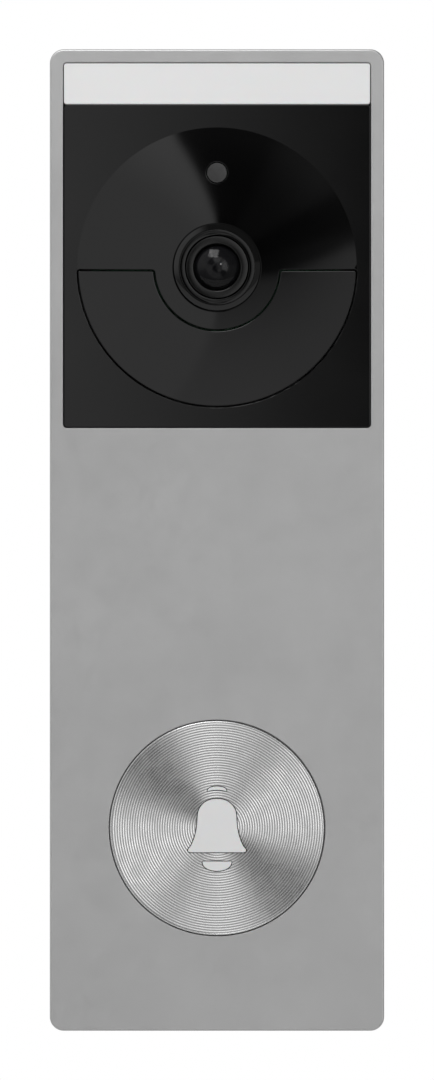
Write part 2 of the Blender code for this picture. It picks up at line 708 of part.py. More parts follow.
def make_lens():
    at = (0.0, LENS_Z)
    base = DISH_CENTRE
    top = base + COLLAR_RISE
    bezel_flange_front = WINDOW_REAR - CLEARANCE
    bezel_rear = bezel_flange_front - BEZEL_FLANGE
    bezel = turned(
        "lens_bezel",
        [
            (BEZEL_BORE, bezel_rear),
            (COLLAR_RADIUS + BEZEL_FLANGE, bezel_rear),
            (COLLAR_RADIUS + BEZEL_FLANGE, bezel_flange_front),
            (COLLAR_RADIUS, bezel_flange_front),
            (COLLAR_RADIUS, base),
            (COLLAR_TOP_RADIUS, top),
            (BEZEL_BORE, top),
        ],
        GLOSS_BLACK,
        at,
        48,
    )
    retainer_front = top - CLEARANCE / 2
    retainer = turned(
        "lens_retainer",
        [
            (RETAINER_BORE, bezel_rear),
            (BEZEL_BORE - CLEARANCE, bezel_rear),
            (BEZEL_BORE - CLEARANCE, retainer_front),
            (RETAINER_BORE, retainer_front),
        ],
        MATT_BLACK,
        at,
        48,
    )
    dome_edge = top - DOME_SINK
    sink = math.sqrt(DOME_CURVE**2 - DOME_RADIUS**2)
    dome_rear = dome_edge - DOME_RIM
    dome_profile = [(0.0, dome_rear), (DOME_RADIUS, dome_rear)]
    rings = 6
    for ring in range(rings):
        radius = DOME_RADIUS * (1 - ring / rings)
        dome_profile.append((radius, dome_edge + math.sqrt(DOME_CURVE**2 - radius**2) - sink))
    dome_profile.append((0.0, dome_edge + DOME_CURVE - sink))
    dome = turned("lens_dome", dome_profile, GLASS, at, 32)
    barrel_front = BARREL_REAR + BARREL_LENGTH
    barrel = disc("lens_barrel", BARREL_RADIUS, BARREL_REAR, barrel_front, MATT_BLACK, at, 32)

    board = prism(
        "camera_board",
        rectangle(CAMERA_BOARD_WIDTH, CAMERA_BOARD_HEIGHT),
        CAMERA_BOARD_REAR,
        CAMERA_BOARD_FRONT,
        BOARD_GREEN,
        (0.0, LENS_Z + CAMERA_BOARD_RAISE),
    )
    sensor_rear = CAMERA_BOARD_FRONT + CLEARANCE
    sensor_front = sensor_rear + IMAGE_SENSOR_THICKNESS
    sensor_size = rectangle(IMAGE_SENSOR_WIDTH, IMAGE_SENSOR_HEIGHT)
    sensor = prism("image_sensor", sensor_size, sensor_rear, sensor_front, SENSOR_BLUE, at)
    holder_front = BARREL_REAR + BARREL_SOCKET
    shuttle_front = SHUTTLE_REAR + SHUTTLE_THICKNESS
    room_front = shuttle_front + CLEARANCE
    holder = prism(
        "lens_holder",
        rectangle(HOLDER_WIDTH, HOLDER_HEIGHT),
        sensor_rear,
        holder_front,
        MATT_BLACK,
        at,
    )
    tower_top = bezel_rear - CLEARANCE
    join(holder, disc("holder_tower", HOLDER_TOWER_RADIUS, sensor_front, tower_top, at=at, sides=32))
    room_width = SHUTTLE_WIDTH + SHUTTLE_TRAVEL + 2 * SHUTTLE_ROOM
    room = rectangle(room_width, SHUTTLE_HEIGHT + 2 * CLEARANCE)
    cut(holder, prism("shuttle_room_cutter", room, 0.0, room_front, at=at))
    barrel_bore = BARREL_RADIUS + CLEARANCE
    cut(holder, disc("barrel_bore_cutter", barrel_bore, *THROUGH, at=at, sides=32))
    coil_z = LENS_Z + HOLDER_HEIGHT / 2 + CLEARANCE + COIL_SIZE / 2
    coil = prism(
        "ir_cut_coil",
        rectangle(COIL_LENGTH, COIL_SIZE),
        sensor_rear,
        sensor_rear + COIL_THICKNESS,
        COPPER,
        (0.0, coil_z),
    )
    shuttle_x = -SHUTTLE_TRAVEL / 2
    shuttle_shape = rectangle(SHUTTLE_WIDTH, SHUTTLE_HEIGHT)
    shuttle_at = (shuttle_x, LENS_Z)
    shuttle = prism("ir_cut_shuttle", shuttle_shape, SHUTTLE_REAR, shuttle_front, SENSOR_BLUE, shuttle_at)
    for side in (-1, 1):
        hole = disc(
            f"shuttle_aperture_{'left' if side < 0 else 'right'}",
            SHUTTLE_APERTURE,
            0.0,
            2 * PLATE_FRONT,
            at=(shuttle_x + side * SHUTTLE_TRAVEL / 2, LENS_Z),
            sides=24,
        )
        cut(shuttle, hole)
    return [bezel, retainer, dome, barrel, board, sensor, holder, coil], shuttle


def make_front_lights():
    """The infrared ring board, the light bar board and what is soldered on them."""
    at = (0.0, LENS_Z)
    inner = COLLAR_RADIUS + BEZEL_FLANGE + RING_BOARD_GAP
    outer = DISH_RADIUS - RING_BOARD_GAP
    ring = turned(
        "infrared_board",
        [
            (inner, FRONT_BOARD_REAR),
            (outer, FRONT_BOARD_REAR),
            (outer, FRONT_BOARD_FRONT),
            (inner, FRONT_BOARD_FRONT),
        ],
        BOARD_GREEN,
        at,
    )
    pieces = [ring]
    led_rear = FRONT_BOARD_FRONT + CLEARANCE
    for index in range(INFRARED_LED_COUNT):
        share = index / (INFRARED_LED_COUNT - 1) - 0.5
        angle = math.radians(270) + INFRARED_LED_ARC * share
        place = (INFRARED_LED_RING * math.cos(angle), LENS_Z + INFRARED_LED_RING * math.sin(angle))
        size = rectangle(INFRARED_LED_SIZE, INFRARED_LED_SIZE)
        name = f"infrared_led_{index + 1}"
        pieces.append(prism(name, size, led_rear, led_rear + INFRARED_LED_HEIGHT, SMOKED_BLACK, place))
    chip = rectangle(SENSOR_CHIP, SENSOR_CHIP)
    chip_at = (0.0, LENS_Z + SENSOR_RAISE)
    pieces.append(prism("light_sensor", chip, led_rear, led_rear + LED_HEIGHT, SENSOR_BLUE, chip_at))
    bar_at = (0.0, LIGHT_BAR_Z)
    strip = rectangle(LIGHT_BAR_BOARD_WIDTH, LIGHT_BAR_BOARD_HEIGHT)
    bar_board = prism("light_bar_board", strip, FRONT_BOARD_REAR, FRONT_BOARD_FRONT, BOARD_GREEN, bar_at)
    pieces.append(bar_board)
    for index in range(LIGHT_BAR_LED_COUNT):
        x = (index - (LIGHT_BAR_LED_COUNT - 1) / 2) * LIGHT_BAR_LED_PITCH
        name = f"light_bar_led_{index + 1}"
        size = rectangle(LED_SIZE, LED_SIZE)
        pieces.append(prism(name, size, led_rear, led_rear + LED_HEIGHT, LED_WHITE, (x, LIGHT_BAR_Z)))
    return pieces


# Bell button

def icon_shapes(grow):
    """The bell, the crown above it and the clapper below it."""
    return {
        "bell": bell_outline(grow),
        "crown": segment(CROWN_WIDTH, CROWN_HEIGHT, CROWN_TOP - CROWN_HEIGHT, True, grow),
        "clapper": segment(CLAPPER_WIDTH, CLAPPER_HEIGHT, CLAPPER_TOP, False, grow),
    }


def make_button():
    at = (0.0, BUTTON_Z)
    flange_front = FLANGE_FRONT
    skirt_rear = flange_front - BUTTON_FLANGE_THICKNESS
    face_rear = BUTTON_FRONT - BUTTON_FACE
    flange_radius = BUTTON_RADIUS + BUTTON_FLANGE
    cap = turned(
        "bell_button_cap",
        [
            (0.0, face_rear),
            (BUTTON_BORE, face_rear),
            (BUTTON_BORE, skirt_rear),
            (flange_radius, skirt_rear),
            (flange_radius, flange_front),
            (BUTTON_RADIUS, flange_front),
            (BUTTON_RADIUS, BUTTON_FRONT - BUTTON_EDGE),
            (BUTTON_RADIUS - BUTTON_EDGE, BUTTON_FRONT),
            (0.0, BUTTON_FRONT),
        ],
        TURNED_ALUMINIUM,
        at,
    )
    guide_front = face_rear - CLEARANCE
    guide = disc("bell_light_guide", GUIDE_RADIUS, guide_front - GUIDE_THICKNESS, guide_front, OPAL, at, 32)
    for label, outline in icon_shapes(CLEARANCE).items():
        cut(cap, prism(label + "_opening_cutter", outline, *THROUGH, at=at))
    for label, outline in icon_shapes(0.0).items():
        low = guide_front - GUIDE_THICKNESS / 2
        join(guide, prism(label + "_island", outline, low, BUTTON_FRONT, at=at))

    carrier_front = guide_front - GUIDE_THICKNESS - CLEARANCE
    carrier_rear = carrier_front - CARRIER_THICKNESS
    hub_rear = BUTTON_BOARD_FRONT + CLEARANCE + SWITCH_HEIGHT + HUB_GAP
    platform = turned(
        "button_carrier",
        [
            (0.0, hub_rear),
            (HUB_RADIUS, hub_rear),
            (HUB_RADIUS, carrier_rear),
            (BUTTON_BORE - CLEARANCE, carrier_rear),
            (BUTTON_BORE - CLEARANCE, carrier_front),
            (0.0, carrier_front),
        ],
        MATT_BLACK,
        at,
    )
    for side in (-1, 1):
        window_at = (side * CARRIER_WINDOW_OFFSET, BUTTON_Z)
        name = f"carrier_window_{'left' if side < 0 else 'right'}"
        cut(platform, disc(name, CARRIER_WINDOW, *THROUGH, at=window_at, sides=24))

    seal_rear = DECK_FRONT - SEAL_SEAT + CLEARANCE
    seal_inner = BUTTON_RADIUS - SEAL_INSET
    seal_outer = flange_radius - SEAL_INSET / 2
    seal = turned(
        "button_seal",
        [
            (seal_inner, seal_rear),
            (seal_outer, seal_rear),
            (seal_outer, skirt_rear - CLEARANCE),
            (seal_inner, skirt_rear - CLEARANCE),
        ],
        RUBBER,
        at,
    )
    board_shape = rectangle(BUTTON_BOARD_SIZE, BUTTON_BOARD_SIZE)
    board = prism("button_board", board_shape, BUTTON_BOARD_REAR, BUTTON_BOARD_FRONT, BOARD_GREEN, at)
    switch_rear = BUTTON_BOARD_FRONT + CLEARANCE
    switch_front = switch_rear + SWITCH_HEIGHT
    switch = prism("switch_body", rectangle(SWITCH_SIZE, SWITCH_SIZE), switch_rear, switch_front, STEEL, at)
    bore = disc(
        "plunger_bore_cutter",
        PLUNGER_RADIUS + CLEARANCE,
        switch_rear + SWITCH_FLOOR,
        switch_front + CUT_MARGIN,
        at=at,
        sides=24,
    )
    cut(switch, bore)
    plunger_front = hub_rear - CLEARANCE
    plunger_rear = plunger_front - PLUNGER_LENGTH
    plunger = disc("switch_plunger", PLUNGER_RADIUS, plunger_rear, plunger_front, MATT_BLACK, at, 24)
    fixed = [seal, board, switch]
    for index, side in enumerate((-1, 1)):
        size = rectangle(LED_SIZE, LED_SIZE)
        place = (side * BUTTON_LED_PITCH / 2, BUTTON_Z)
        name = f"button_led_{index + 1}"
        fixed.append(prism(name, size, switch_rear, switch_rear + LED_HEIGHT, LED_WHITE, place))
    return fixed, [cap, guide, platform], plunger


# Housing and rear cover

def make_housing():
    housing = prism(
        "front_housing",
        rounded(HOUSING_WIDTH, HOUSING_HEIGHT, PLATE_CORNER - HOUSING_INSET),
        HOUSING_REAR,
        HOUSING_TOP,
        MATT_BLACK,
    )
    upper = rounded(UPPER_WIDTH, UPPER_HEIGHT, UPPER_CORNER, steps=3)
    join(housing, prism("housing_upper", upper, RIM_TOP - CLEARANCE, DECK_FRONT))
    inner = rectangle(INNER_WIDTH, INNER_HEIGHT)
    cut(housing, prism("housing_room_cutter", inner, 0.0, RIM_TOP))
    neck = rectangle(NECK_WIDTH, NECK_HEIGHT)
    cut(housing, prism("housing_neck_cutter", neck, RIM_TOP - CUT_MARGIN, DECK_REAR))

    frame_top = OPENING_BOTTOM - WINDOW_FLANGE - 2 * CLEARANCE
    frame_bottom = -UPPER_HEIGHT / 2
    frame_at = (0.0, (frame_top + frame_bottom) / 2)
    frame_height = frame_top - frame_bottom
    rib_shape = rounded(UPPER_WIDTH, frame_height, UPPER_CORNER, steps=3)
    rib = prism("plate_rib", rib_shape, DECK_FRONT - DECK_THICKNESS / 2, FLANGE_FRONT, at=frame_at)
    hollow = rectangle(NECK_WIDTH, frame_height - 2 * UPPER_WALL)
    cut(rib, prism("plate_rib_cutter", hollow, *THROUGH, at=frame_at))
    join(housing, rib)

    for side in (-1, 1):
        rail_x = side * (INNER_WIDTH / 2 - RAIL_WIDTH / 2 + RAIL_ROOT / 2)
        rail = rectangle(RAIL_WIDTH + RAIL_ROOT, 2 * BOSS_Z)
        side_name = "left" if side < 0 else "right"
        rail_at = (rail_x, 0.0)
        rail_rear = COVER_FRONT + GASKET_THICKNESS + 2 * CLEARANCE
        join(housing, prism(f"{side_name}_rail", rail, rail_rear, rail_rear + RAIL_THICKNESS, at=rail_at))
        for end in (-1, 1):
            boss_at = (side * BOSS_X, end * BOSS_Z)
            name = f"{side_name}_{'lower' if end < 0 else 'upper'}_boss"
            boss_front = DECK_REAR + DECK_THICKNESS / 2
            boss = disc(name, BOSS_RADIUS, BOSS_REAR, boss_front, at=boss_at, sides=20)
            hole_end = SCREW_END + BOSS_HOLE_SPARE
            hole = disc(name + "_cutter", SCREW_RADIUS + CLEARANCE, 0.0, hole_end, at=boss_at, sides=16)
            join(housing, boss)
            cut(housing, hole)

    seat = rectangle(TONGUE_WIDTH, 2 * SCREW_SEAT)
    join(housing, prism("screw_seat", seat, HOUSING_REAR + CLEARANCE, COVER_FRONT, at=(0.0, FLOOR_Z)))
    lens_at = (0.0, LENS_Z)
    camera_way = DISH_RADIUS - CAMERA_LEDGE
    cut(housing, disc("camera_opening_cutter", camera_way, RIM_TOP, 2 * PLATE_FRONT, at=lens_at))
    bar_slot = rectangle(LIGHT_BAR_BOARD_WIDTH, LIGHT_BAR_BOARD_HEIGHT)
    bar_at = (0.0, LIGHT_BAR_Z)
    cut(housing, prism("light_bar_slot_cutter", bar_slot, RIM_TOP, 2 * PLATE_FRONT, at=bar_at))
    button_at = (0.0, BUTTON_Z)
    button_way = BUTTON_BORE + BUTTON_WAY
    cut(housing, disc("button_opening_cutter", button_way, RIM_TOP, 2 * PLATE_FRONT, at=button_at))
    seat_radius = BUTTON_RADIUS + BUTTON_FLANGE + CLEARANCE
    seat_rear = DECK_FRONT - SEAL_SEAT
    cut(housing, disc("seal_seat_cutter", seat_radius, seat_rear, 2 * PLATE_FRONT, at=button_at))

    below = -PLATE_HEIGHT / 2 - CUT_MARGIN
    slot = rounded(SPEAKER_SLOT_WIDTH, SPEAKER_SLOT_LENGTH, SPEAKER_SLOT_WIDTH / 2, steps=3)
    for index in range(SPEAKER_SLOT_COUNT):
        x = (index - (SPEAKER_SLOT_COUNT - 1) / 2) * SPEAKER_SLOT_PITCH
        name = f"speaker_slot_cutter_{index + 1}"
        cut(housing, upright(name, slot, below, FLOOR_Z + CUT_MARGIN, at=(x, SPEAKER_MID)))
    pinhole = circle(MICROPHONE_HOLE, 16)
    sound_at = (MICROPHONE_X, MICROPHONE_DEPTH)
    cut(housing, upright("microphone_hole_cutter", pinhole, below, FLOOR_Z + CUT_MARGIN, at=sound_at))
    screw_at = (0.0, TONGUE_SCREW_DEPTH)
    head = circle(SECURITY_HEAD_RADIUS + CLEARANCE, 24)
    head_top = SECURITY_HEAD_BOTTOM + SECURITY_HEAD_HEIGHT + CLEARANCE
    shank = circle(SECURITY_SCREW_RADIUS + CLEARANCE, 24)
    cut(housing, upright("screw_head_cutter", head, below, head_top, at=screw_at))
    cut(housing, upright("screw_shank_cutter", shank, below, SCREW_SEAT_TOP + CUT_MARGIN, at=screw_at))
    return housing


def make_rear():
    width = INNER_WIDTH - 2 * CLEARANCE
    height = INNER_HEIGHT - 2 * CLEARANCE
    cover = prism("rear_cover", rectangle(width, height), COVER_REAR, COVER_FRONT, MATT_BLACK)
    for side in (-1, 1):
        for end in (-1, 1):
            label = f"catch_{'left' if side < 0 else 'right'}_{'lower' if end < 0 else 'upper'}"
            bar_z = end * HOOK_Z + HOOK_NECK / 2 + CLEARANCE + CATCH_BAR / 2
            span = HOOK_WIDTH + 2 * CLEARANCE + 2 * CATCH_POST
            bar_front = COVER_REAR - CLEARANCE - HOOK_THICKNESS - CLEARANCE
            bar_rear = BRACKET_THICKNESS + 2 * CLEARANCE
            half = span / 2
            staple = [
                (-half, bar_rear),
                (half, bar_rear),
                (half, COVER_REAR + COVER_THICKNESS / 2),
                (half - CATCH_POST, COVER_REAR + COVER_THICKNESS / 2),
                (half - CATCH_POST, bar_front),
                (CATCH_POST - half, bar_front),
                (CATCH_POST - half, COVER_REAR + COVER_THICKNESS / 2),
                (-half, COVER_REAR + COVER_THICKNESS / 2),
            ]
            bar_low = bar_z - CATCH_BAR / 2
            join(cover, upright(label, staple, bar_low, bar_low + CATCH_BAR, at=(side * HOOK_X, 0.0)))

    inner_half = TONGUE_WIDTH / 2 + 2 * CLEARANCE
    outer_half = inner_half + POCKET_WALL
    pocket_top = TONGUE_TOP + 2 * CLEARANCE
    pocket_bottom = -height / 2
    pocket_floor = TONGUE_DEPTH + 2 * CLEARANCE
    shell_height = pocket_top + POCKET_WALL - pocket_bottom
    shell = rectangle(2 * outer_half, shell_height)
    shell_at = (0.0, pocket_bottom + shell_height / 2)
    pocket_front = SPEAKER_REAR - CLEARANCE
    shell_rear = COVER_REAR + COVER_THICKNESS / 4
    join(cover, prism("tongue_pocket", shell, shell_rear, pocket_front, at=shell_at))
    room_height = pocket_top - pocket_bottom + POCKET_WALL
    room = rectangle(2 * inner_half, room_height)
    room_at = (0.0, pocket_top - room_height / 2)
    cut(cover, prism("tongue_pocket_cutter", room, 0.0, pocket_floor, at=room_at))

    wires = rectangle(TERMINAL_WIDTH + 2 * CLEARANCE, TERMINAL_HEIGHT + 2 * CLEARANCE)
    cut(cover, prism("terminal_opening_cutter", wires, *THROUGH, at=(0.0, TERMINAL_Z)))
    reset_hole = RESET_RADIUS + CLEARANCE
    tamper_hole = TAMPER_RADIUS + CLEARANCE
    cut(cover, disc("reset_hole_cutter", reset_hole, *THROUGH, at=(RESET_X, TERMINAL_Z), sides=24))
    cut(cover, disc("tamper_hole_cutter", tamper_hole, *THROUGH, at=(TAMPER_X, TERMINAL_Z), sides=24))
    pieces = [cover]
    head_rear = COVER_REAR + COUNTERBORE_DEPTH - CLEARANCE - SCREW_HEAD_HEIGHT
    for index, (side, end) in enumerate(((-1, 1), (1, 1), (-1, -1), (1, -1))):
        at = (side * BOSS_X, end * BOSS_Z)
        name = f"cover_screw_{index + 1}"
        bore_end = COVER_REAR + COUNTERBORE_DEPTH
        cut(cover, disc(name + "_seat", SCREW_HEAD_RADIUS + CLEARANCE, 0.0, bore_end, at=at, sides=20))
        cut(cover, disc(name + "_hole", SCREW_RADIUS + CLEARANCE, *THROUGH, at=at, sides=16))
        head_front = head_rear + SCREW_HEAD_HEIGHT
        profile = [
            (0.0, head_rear),
            (SCREW_HEAD_RADIUS, head_rear),
            (SCREW_HEAD_RADIUS, head_front),
            (SCREW_RADIUS, head_front),
            (SCREW_RADIUS, SCREW_END),
            (0.0, SCREW_END),
        ]
        pieces.append(turned(name, profile, STEEL, at, 16))

    gasket_rear = COVER_FRONT + CLEARANCE
    gasket_front = gasket_rear + GASKET_THICKNESS
    gasket = prism("rear_gasket", rectangle(width, height), gasket_rear, gasket_front, RUBBER)
    hollow = rectangle(width - 2 * GASKET_WIDTH, height - 2 * GASKET_WIDTH)
    cut(gasket, prism("rear_gasket_cutter", hollow, *THROUGH))
    gap = rectangle(2 * (outer_half + CLEARANCE), 4 * GASKET_WIDTH)
    cut(gasket, prism("gasket_gap_cutter", gap, *THROUGH, at=(0.0, pocket_bottom)))
    pieces.append(gasket)
    return pieces


# Main board and what is on it

def make_electronics():
    board_height = MAIN_BOARD_TOP - MAIN_BOARD_BOTTOM
    board_at = (0.0, (MAIN_BOARD_TOP + MAIN_BOARD_BOTTOM) / 2)
    board_shape = rectangle(MAIN_BOARD_WIDTH, board_height)
    board = prism("main_board", board_shape, MAIN_BOARD_REAR, MAIN_BOARD_FRONT, BOARD_GREEN, board_at)
    shield_rear = MAIN_BOARD_FRONT + CLEARANCE
    shield = prism(
        "processor_shield",
        rounded(SHIELD_SIZE, SHIELD_SIZE, SHIELD_CORNER, steps=3),
        shield_rear,
        shield_rear + SHIELD_THICKNESS,
        STEEL,
        (0.0, SHIELD_Z),
    )
    antenna_x = -(INNER_WIDTH / 2 - CLEARANCE - ANTENNA_THICKNESS / 2)
    antenna = prism(
        "wifi_antenna",
        rectangle(ANTENNA_THICKNESS, ANTENNA_LENGTH),
        ANTENNA_REAR,
        ANTENNA_REAR + ANTENNA_WIDTH,
        BRASS,
        (antenna_x, 0.0),
    )
    block_front = MAIN_BOARD_REAR - CLEARANCE
    block = prism(
        "terminal_block",
        rectangle(TERMINAL_WIDTH, TERMINAL_HEIGHT),
        TERMINAL_REAR,
        block_front,
        MATT_BLACK,
        (0.0, TERMINAL_Z),
    )
    pieces = [board, shield, antenna, block]
    for index, side in enumerate((-1, 1)):
        at = (side * TERMINAL_PITCH / 2, TERMINAL_Z)
        hole_end = block_front - TERMINAL_FLOOR
        hole_radius = TERMINAL_SCREW_SHANK + CLEARANCE
        name = f"terminal_screw_{index + 1}"
        cut(block, disc(name + "_hole", hole_radius, 0.0, hole_end, at=at, sides=20))
        head_front = TERMINAL_REAR - CLEARANCE
        head_rear = head_front - TERMINAL_SCREW_HEAD
        shank_end = hole_end - 2 * CLEARANCE
        profile = [
            (0.0, head_rear),
            (TERMINAL_SCREW_RADIUS, head_rear),
            (TERMINAL_SCREW_RADIUS, head_front),
            (TERMINAL_SCREW_SHANK, head_front),
            (TERMINAL_SCREW_SHANK, shank_end),
            (0.0, shank_end),
        ]
        pieces.append(turned(name, profile, BRASS, at, 20))

    switch_front = MAIN_BOARD_REAR - CLEARANCE
    flange_rear = COVER_FRONT + CLEARANCE
    reset_end = flange_rear + RESET_COLLAR_THICKNESS
    reset_at = (RESET_X, TERMINAL_Z)
    reset = turned(
        "reset_button",
        [
            (0.0, COVER_REAR - CLEARANCE),
            (RESET_RADIUS, COVER_REAR - CLEARANCE),
            (RESET_RADIUS, flange_rear),
            (RESET_RADIUS + RESET_COLLAR, flange_rear),
            (RESET_RADIUS + RESET_COLLAR, reset_end),
            (0.0, reset_end),
        ],
        MARKED_RED,
        reset_at,
        24,
    )
    switch_size = rectangle(REAR_SWITCH_SIZE, REAR_SWITCH_SIZE)
    reset_rear = reset_end + RESET_TRAVEL + CLEARANCE
    pieces.append(prism("reset_switch", switch_size, reset_rear, switch_front, STEEL, reset_at))
    tamper_end = flange_rear + TAMPER_COLLAR_THICKNESS
    tamper_at = (TAMPER_X, TERMINAL_Z)
    tip = BRACKET_THICKNESS + CLEARANCE
    tamper = turned(
        "tamper_plunger",
        [
            (0.0, tip),
            (TAMPER_RADIUS, tip),
            (TAMPER_RADIUS, flange_rear),
            (TAMPER_RADIUS + TAMPER_COLLAR, flange_rear),
            (TAMPER_RADIUS + TAMPER_COLLAR, tamper_end),
            (0.0, tamper_end),
        ],
        OPAL,
        tamper_at,
        24,
    )
    tamper_rear = tamper_end + TAMPER_TRAVEL + CLEARANCE / 2
    pieces.append(prism("tamper_switch", switch_size, tamper_rear, switch_front, STEEL, tamper_at))
    return pieces, reset, tamper


# Speaker, microphone and security screw

def racetrack(width, depth):
    return rounded(width, depth, depth / 2)


def make_speaker():
    at = (0.0, SPEAKER_MID)
    bottom = SPEAKER_BOTTOM
    top = bottom + SPEAKER_HEIGHT
    frame = upright("speaker_frame", racetrack(SPEAKER_WIDTH, SPEAKER_DEPTH), bottom, top, MATT_BLACK, at)
    room_width = SPEAKER_WIDTH - 2 * SPEAKER_WALL
    room_depth = SPEAKER_DEPTH - 2 * SPEAKER_WALL
    room = racetrack(room_width, room_depth)
    cut(frame, upright("speaker_room_cutter", room, bottom - CUT_MARGIN, top - SPEAKER_WALL, at=at))
    magnet_way = rectangle(MAGNET_WIDTH + 2 * CLEARANCE, MAGNET_DEPTH + 2 * CLEARANCE)
    cut(frame, upright("magnet_way_cutter", magnet_way, bottom, top + CUT_MARGIN, at=at))

    cone_bottom = bottom + CONE_RAISE
    cone_top = cone_bottom + CONE_THICKNESS
    coil_bottom = cone_top + CLEARANCE
    coil_top = coil_bottom + COIL_HEIGHT
    magnet_bottom = coil_top + SPEAKER_TRAVEL + CLEARANCE
    magnet = upright(
        "speaker_magnet",
        rectangle(MAGNET_WIDTH, MAGNET_DEPTH),
        magnet_bottom,
        magnet_bottom + MAGNET_HEIGHT,
        STEEL,
        at,
    )
    ring = 2 * (CLEARANCE + SURROUND_WIDTH + CLEARANCE)
    cone = upright(
        "speaker_cone",
        racetrack(room_width - ring, room_depth - ring),
        cone_bottom,
        cone_top,
        PAPER_GREY,
        at,
    )
    coil = upright("voice_coil", rectangle(COIL_WIDTH, COIL_DEPTH), coil_bottom, coil_top, COPPER, at)
    coil_hole = rectangle(COIL_WIDTH - 2 * COIL_WALL, COIL_DEPTH - 2 * COIL_WALL)
    hole_low, hole_high = coil_bottom - CUT_MARGIN, coil_top + CUT_MARGIN
    cut(coil, upright("voice_coil_cutter", coil_hole, hole_low, hole_high, at=at))
    surround = upright(
        "speaker_surround",
        racetrack(room_width - 2 * CLEARANCE, room_depth - 2 * CLEARANCE),
        cone_bottom,
        cone_bottom + CONE_THICKNESS,
        RUBBER,
        at,
    )
    inner = racetrack(room_width - ring + 2 * CLEARANCE, room_depth - ring + 2 * CLEARANCE)
    ring_low, ring_high = cone_bottom - CUT_MARGIN, cone_top + CUT_MARGIN
    cut(surround, upright("surround_cutter", inner, ring_low, ring_high, at=at))

    boot_bottom = FLOOR_Z + CLEARANCE
    boot_top = boot_bottom + BOOT_HEIGHT
    sound_at = (MICROPHONE_X, MICROPHONE_DEPTH)
    boot = upright("microphone_boot", circle(BOOT_RADIUS, 24), boot_bottom, boot_top, RUBBER, sound_at)
    sound_hole = circle(MICROPHONE_HOLE, 16)
    cut(boot, upright("boot_hole_cutter", sound_hole, boot_bottom - CUT_MARGIN, boot_top + CUT_MARGIN, at=sound_at))
    body = rectangle(MICROPHONE_SIZE, MICROPHONE_SIZE)
    mic_bottom = boot_top + CLEARANCE
    microphone = upright("microphone", body, mic_bottom, mic_bottom + MICROPHONE_HEIGHT, STEEL, sound_at)
    return [frame, magnet, boot, microphone, surround], [cone, coil]


def make_security_screw():
    """A headed screw that runs up through the housing's floor into the bracket's tongue."""
    at = (0.0, TONGUE_SCREW_DEPTH)
    bottom = SECURITY_HEAD_BOTTOM
    head_top = bottom + SECURITY_HEAD_HEIGHT
    screw = upright("security_screw", circle(SECURITY_HEAD_RADIUS, 24), bottom, head_top, STEEL, at)
    shank = circle(SECURITY_SCREW_RADIUS, 24)
    shank_bottom = bottom + SECURITY_HEAD_HEIGHT / 2
    return join(screw, upright("security_shank", shank, shank_bottom, bottom + SECURITY_SCREW_LENGTH, at=at))


def clear_scene():
    for item in list(bpy.data.objects):
        bpy.data.objects.remove(item, do_unlink=True)


def build():
    clear_scene()
    make_bracket()
    unit = carrier("unit")
    carry(unit, make_front_plate(), make_housing())
    carry(unit, *make_window())
    camera_pieces, shuttle = make_lens()
    carry(unit, *camera_pieces)
    carry(unit, *make_front_lights())
    fixed, pressed, plunger = make_button()
    carry(unit, *fixed)
    carry(carrier("bell_press_axis", 0.0, BUTTON_FRONT, BUTTON_Z, unit), *pressed)
    carry(carrier("switch_press_axis", 0.0, DECK_REAR, BUTTON_Z, unit), plunger)
    carry(carrier("ir_cut_axis", 0.0, CAMERA_BOARD_REAR, LENS_Z, unit), shuttle)
    carry(unit, *make_rear())
    board_pieces, reset, tamper = make_electronics()
    carry(unit, *board_pieces)
    carry(carrier("reset_press_axis", RESET_X, COVER_REAR, TERMINAL_Z, unit), reset)
    carry(carrier("tamper_press_axis", TAMPER_X, COVER_REAR, TERMINAL_Z, unit), tamper)
    sound_fixed, sound_moving = make_speaker()
    carry(unit, *sound_fixed)
    carry(carrier("speaker_axis", 0.0, SPEAKER_MID, SPEAKER_BOTTOM, unit), *sound_moving)
    screw_axis = carrier("security_screw_axis", 0.0, TONGUE_SCREW_DEPTH, -PLATE_HEIGHT / 2, unit)
    carry(screw_axis, make_security_screw())
    smooth_edges()


build()
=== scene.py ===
import json
import math

import bmesh
import bpy
from mathutils import Matrix, Vector, geometry


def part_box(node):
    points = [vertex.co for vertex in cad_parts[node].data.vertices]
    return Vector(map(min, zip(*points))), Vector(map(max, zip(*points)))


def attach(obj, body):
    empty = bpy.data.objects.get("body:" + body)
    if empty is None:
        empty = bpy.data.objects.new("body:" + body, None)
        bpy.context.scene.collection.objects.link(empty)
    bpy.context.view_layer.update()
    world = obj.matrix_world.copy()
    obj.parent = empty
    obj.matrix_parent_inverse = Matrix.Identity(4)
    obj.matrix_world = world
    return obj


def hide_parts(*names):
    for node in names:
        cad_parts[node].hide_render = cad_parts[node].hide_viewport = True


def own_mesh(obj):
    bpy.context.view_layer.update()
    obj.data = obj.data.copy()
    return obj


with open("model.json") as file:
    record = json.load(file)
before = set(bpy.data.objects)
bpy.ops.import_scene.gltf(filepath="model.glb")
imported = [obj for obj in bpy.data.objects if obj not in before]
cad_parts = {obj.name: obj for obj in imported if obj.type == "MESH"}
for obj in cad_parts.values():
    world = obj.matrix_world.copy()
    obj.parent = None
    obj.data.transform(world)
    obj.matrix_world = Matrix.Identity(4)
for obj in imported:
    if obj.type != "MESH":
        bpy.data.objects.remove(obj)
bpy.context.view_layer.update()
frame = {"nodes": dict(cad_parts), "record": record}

scene = bpy.context.scene
mm = 0.001
fullTurn = 2 * math.pi
print("frame loaded:", len(frame["nodes"]), "CAD nodes")


